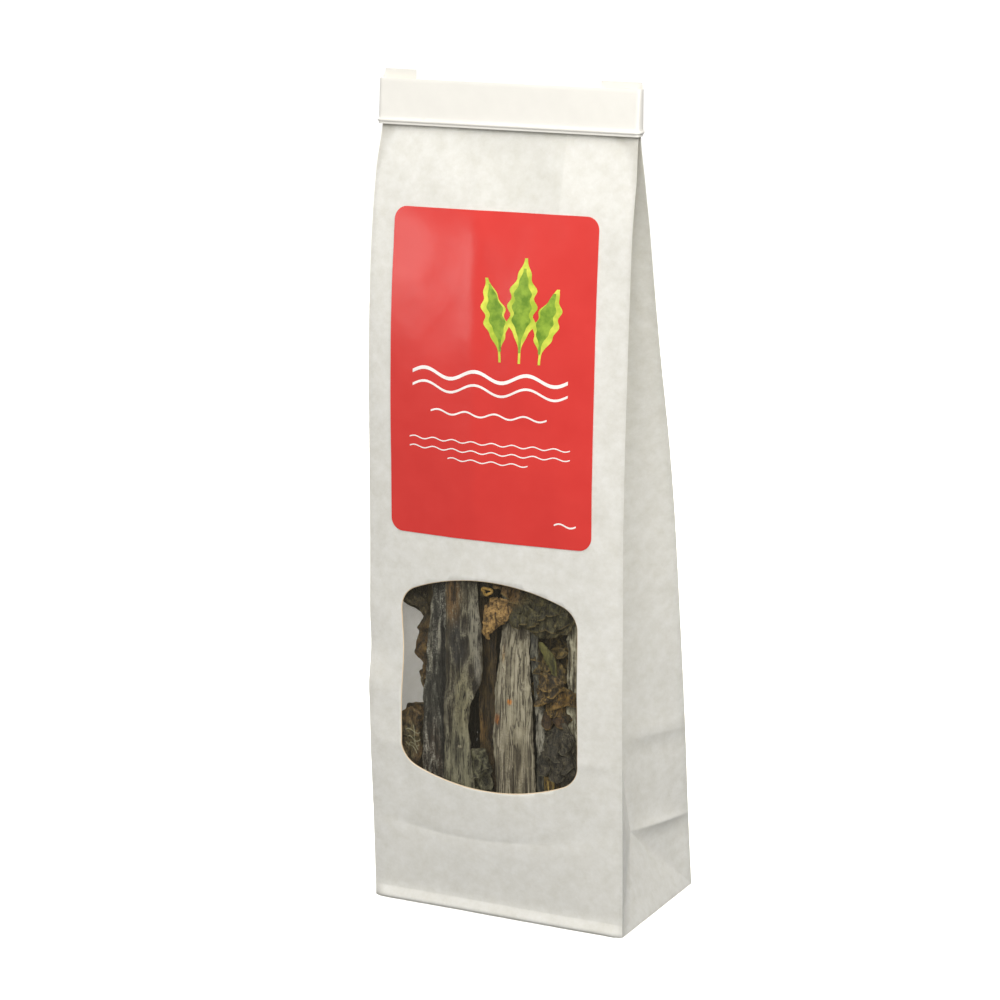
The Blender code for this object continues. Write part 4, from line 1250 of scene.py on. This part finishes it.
# %% Kelp behind
SHADE = ("#201c14 #342e20 #484030 #5c563f #17150f #5b543c", 0.06, 0.3, 0.4)
back_material = kelp_material("in the shade", *SHADE)
for i in range(1, 5):
    for kind, style in (("strip", STRIP), ("frill", FRILL)):
        dried_piece(f"kelp_back_{kind}_{i}", style, back_material, fine=1.6, soft=3)

# %% [markdown]
# ## Camera
#
# The photograph was taken with a long lens from a little above, and from the bag's right. These numbers come
# from fitting a camera to the corners of the bag, of its label and of its window.

# %% Camera at the photograph's view
AZIMUTH = radians(26.65)
ELEVATION = radians(13.17)
DISTANCE = 0.888
TARGET = Vector((-0.0115, 0.0, 0.1175))
LENS = 110.09


def place_object(name, data):
    """A camera, lamp or floor as an object in the scene."""
    holder = bpy.data.objects.new(name, data)
    bpy.context.scene.collection.objects.link(holder)
    return holder


away = Vector((sin(AZIMUTH) * cos(ELEVATION), -cos(AZIMUTH) * cos(ELEVATION), sin(ELEVATION)))
lens = bpy.data.cameras.new("camera")
lens.lens = LENS
lens.sensor_width = 36.0
lens.clip_start = 0.01
camera = place_object("camera", lens)
camera.location = TARGET + away * DISTANCE
camera.rotation_euler = away.to_track_quat("Z", "Y").to_euler()
bpy.context.scene.camera = camera
print("camera at", [round(c, 4) for c in camera.location])

# %% [markdown]
# ## Floor and light
#
# The bag stands on a plain pale floor, which has a soft light of its own, as a studio lights its backdrop
# apart from the object. That light is linked to the floor alone, and the floor sends no light back, so the
# bag's foot stays darker than its top, as in the photograph. A large light high in front shapes the bag,
# with smaller ones above and on the right. Two near ones brighten the tape and the folded top, and one
# behind lights the side. A low one on the left is what the label's coating reflects. All are round, since a
# square one leaves a straight edge in that reflection.

# %% Floor
FLOOR_HALF = 6.0
ground = bmesh.new()
bmesh.ops.create_grid(ground, x_segments=1, y_segments=1, size=FLOOR_HALF)
floor_mesh = bpy.data.meshes.new("floor")
ground.to_mesh(floor_mesh)
ground.free()
floor = place_object("floor", floor_mesh)
floor_paint, add, _ = new_material("pale studio floor")
matt = add("BsdfPrincipled", {"Base Color": linear("#f4f3f1"), "Roughness": 0.9})
add("OutputMaterial", {"Surface": matt})
floor_mesh.materials.append(floor_paint)
floor.visible_diffuse = False
floor.visible_glossy = False

# %% Lights
# Name, place and aim in metres, diameter in metres, and watts.
LAMPS = (
    ("front", (0.3, -1.3, 0.9), (0, 0, 0.12), 0.9, 13.2),
    ("top right", (0.5, -0.35, 0.8), (0, 0, 0.2), 0.5, 3.6),
    ("near right", (0.42, -0.12, 0.46), (0.03, 0, 0.2), 0.25, 0.78),
    ("near top", (-0.03, -0.34, 0.52), (0, 0, 0.2), 0.3, 0.3),
    ("behind", (-0.7, 0.6, 0.5), (0, 0, 0.12), 0.6, 8.5),
    ("low left", (-0.66, -0.93, 0.27), (-0.02, -0.025, 0.19), 0.22, 0.6),
)
for name, place, aim, size, watts in LAMPS:
    lamp = bpy.data.lights.new(name, "AREA")
    lamp.shape = "DISK"
    lamp.size = size
    lamp.energy = watts
    lamp.color = linear("#fffdfa")[:3]
    holder = place_object(name, lamp)
    holder.location = place
    holder.rotation_euler = (Vector(place) - Vector(aim)).to_track_quat("Z", "Y").to_euler()

backdrop = bpy.data.lights.new("backdrop", "SUN")
backdrop.energy = 3.0
backdrop.angle = radians(60)
only_floor = bpy.data.collections.new("lit by the backdrop light")
only_floor.objects.link(floor)
place_object("backdrop", backdrop).light_linking.receiver_collection = only_floor

world = bpy.data.worlds.new("studio")
bpy.context.scene.world = world
world.use_nodes = True
world.node_tree.nodes.clear()
light = partial(add_node, world.node_tree)
around = light("Background", {"Color": linear("#fbfbfb"), "Strength": 0.3})
light("OutputWorld", {"Surface": around})
bpy.context.scene.view_settings.view_transform = "Standard"
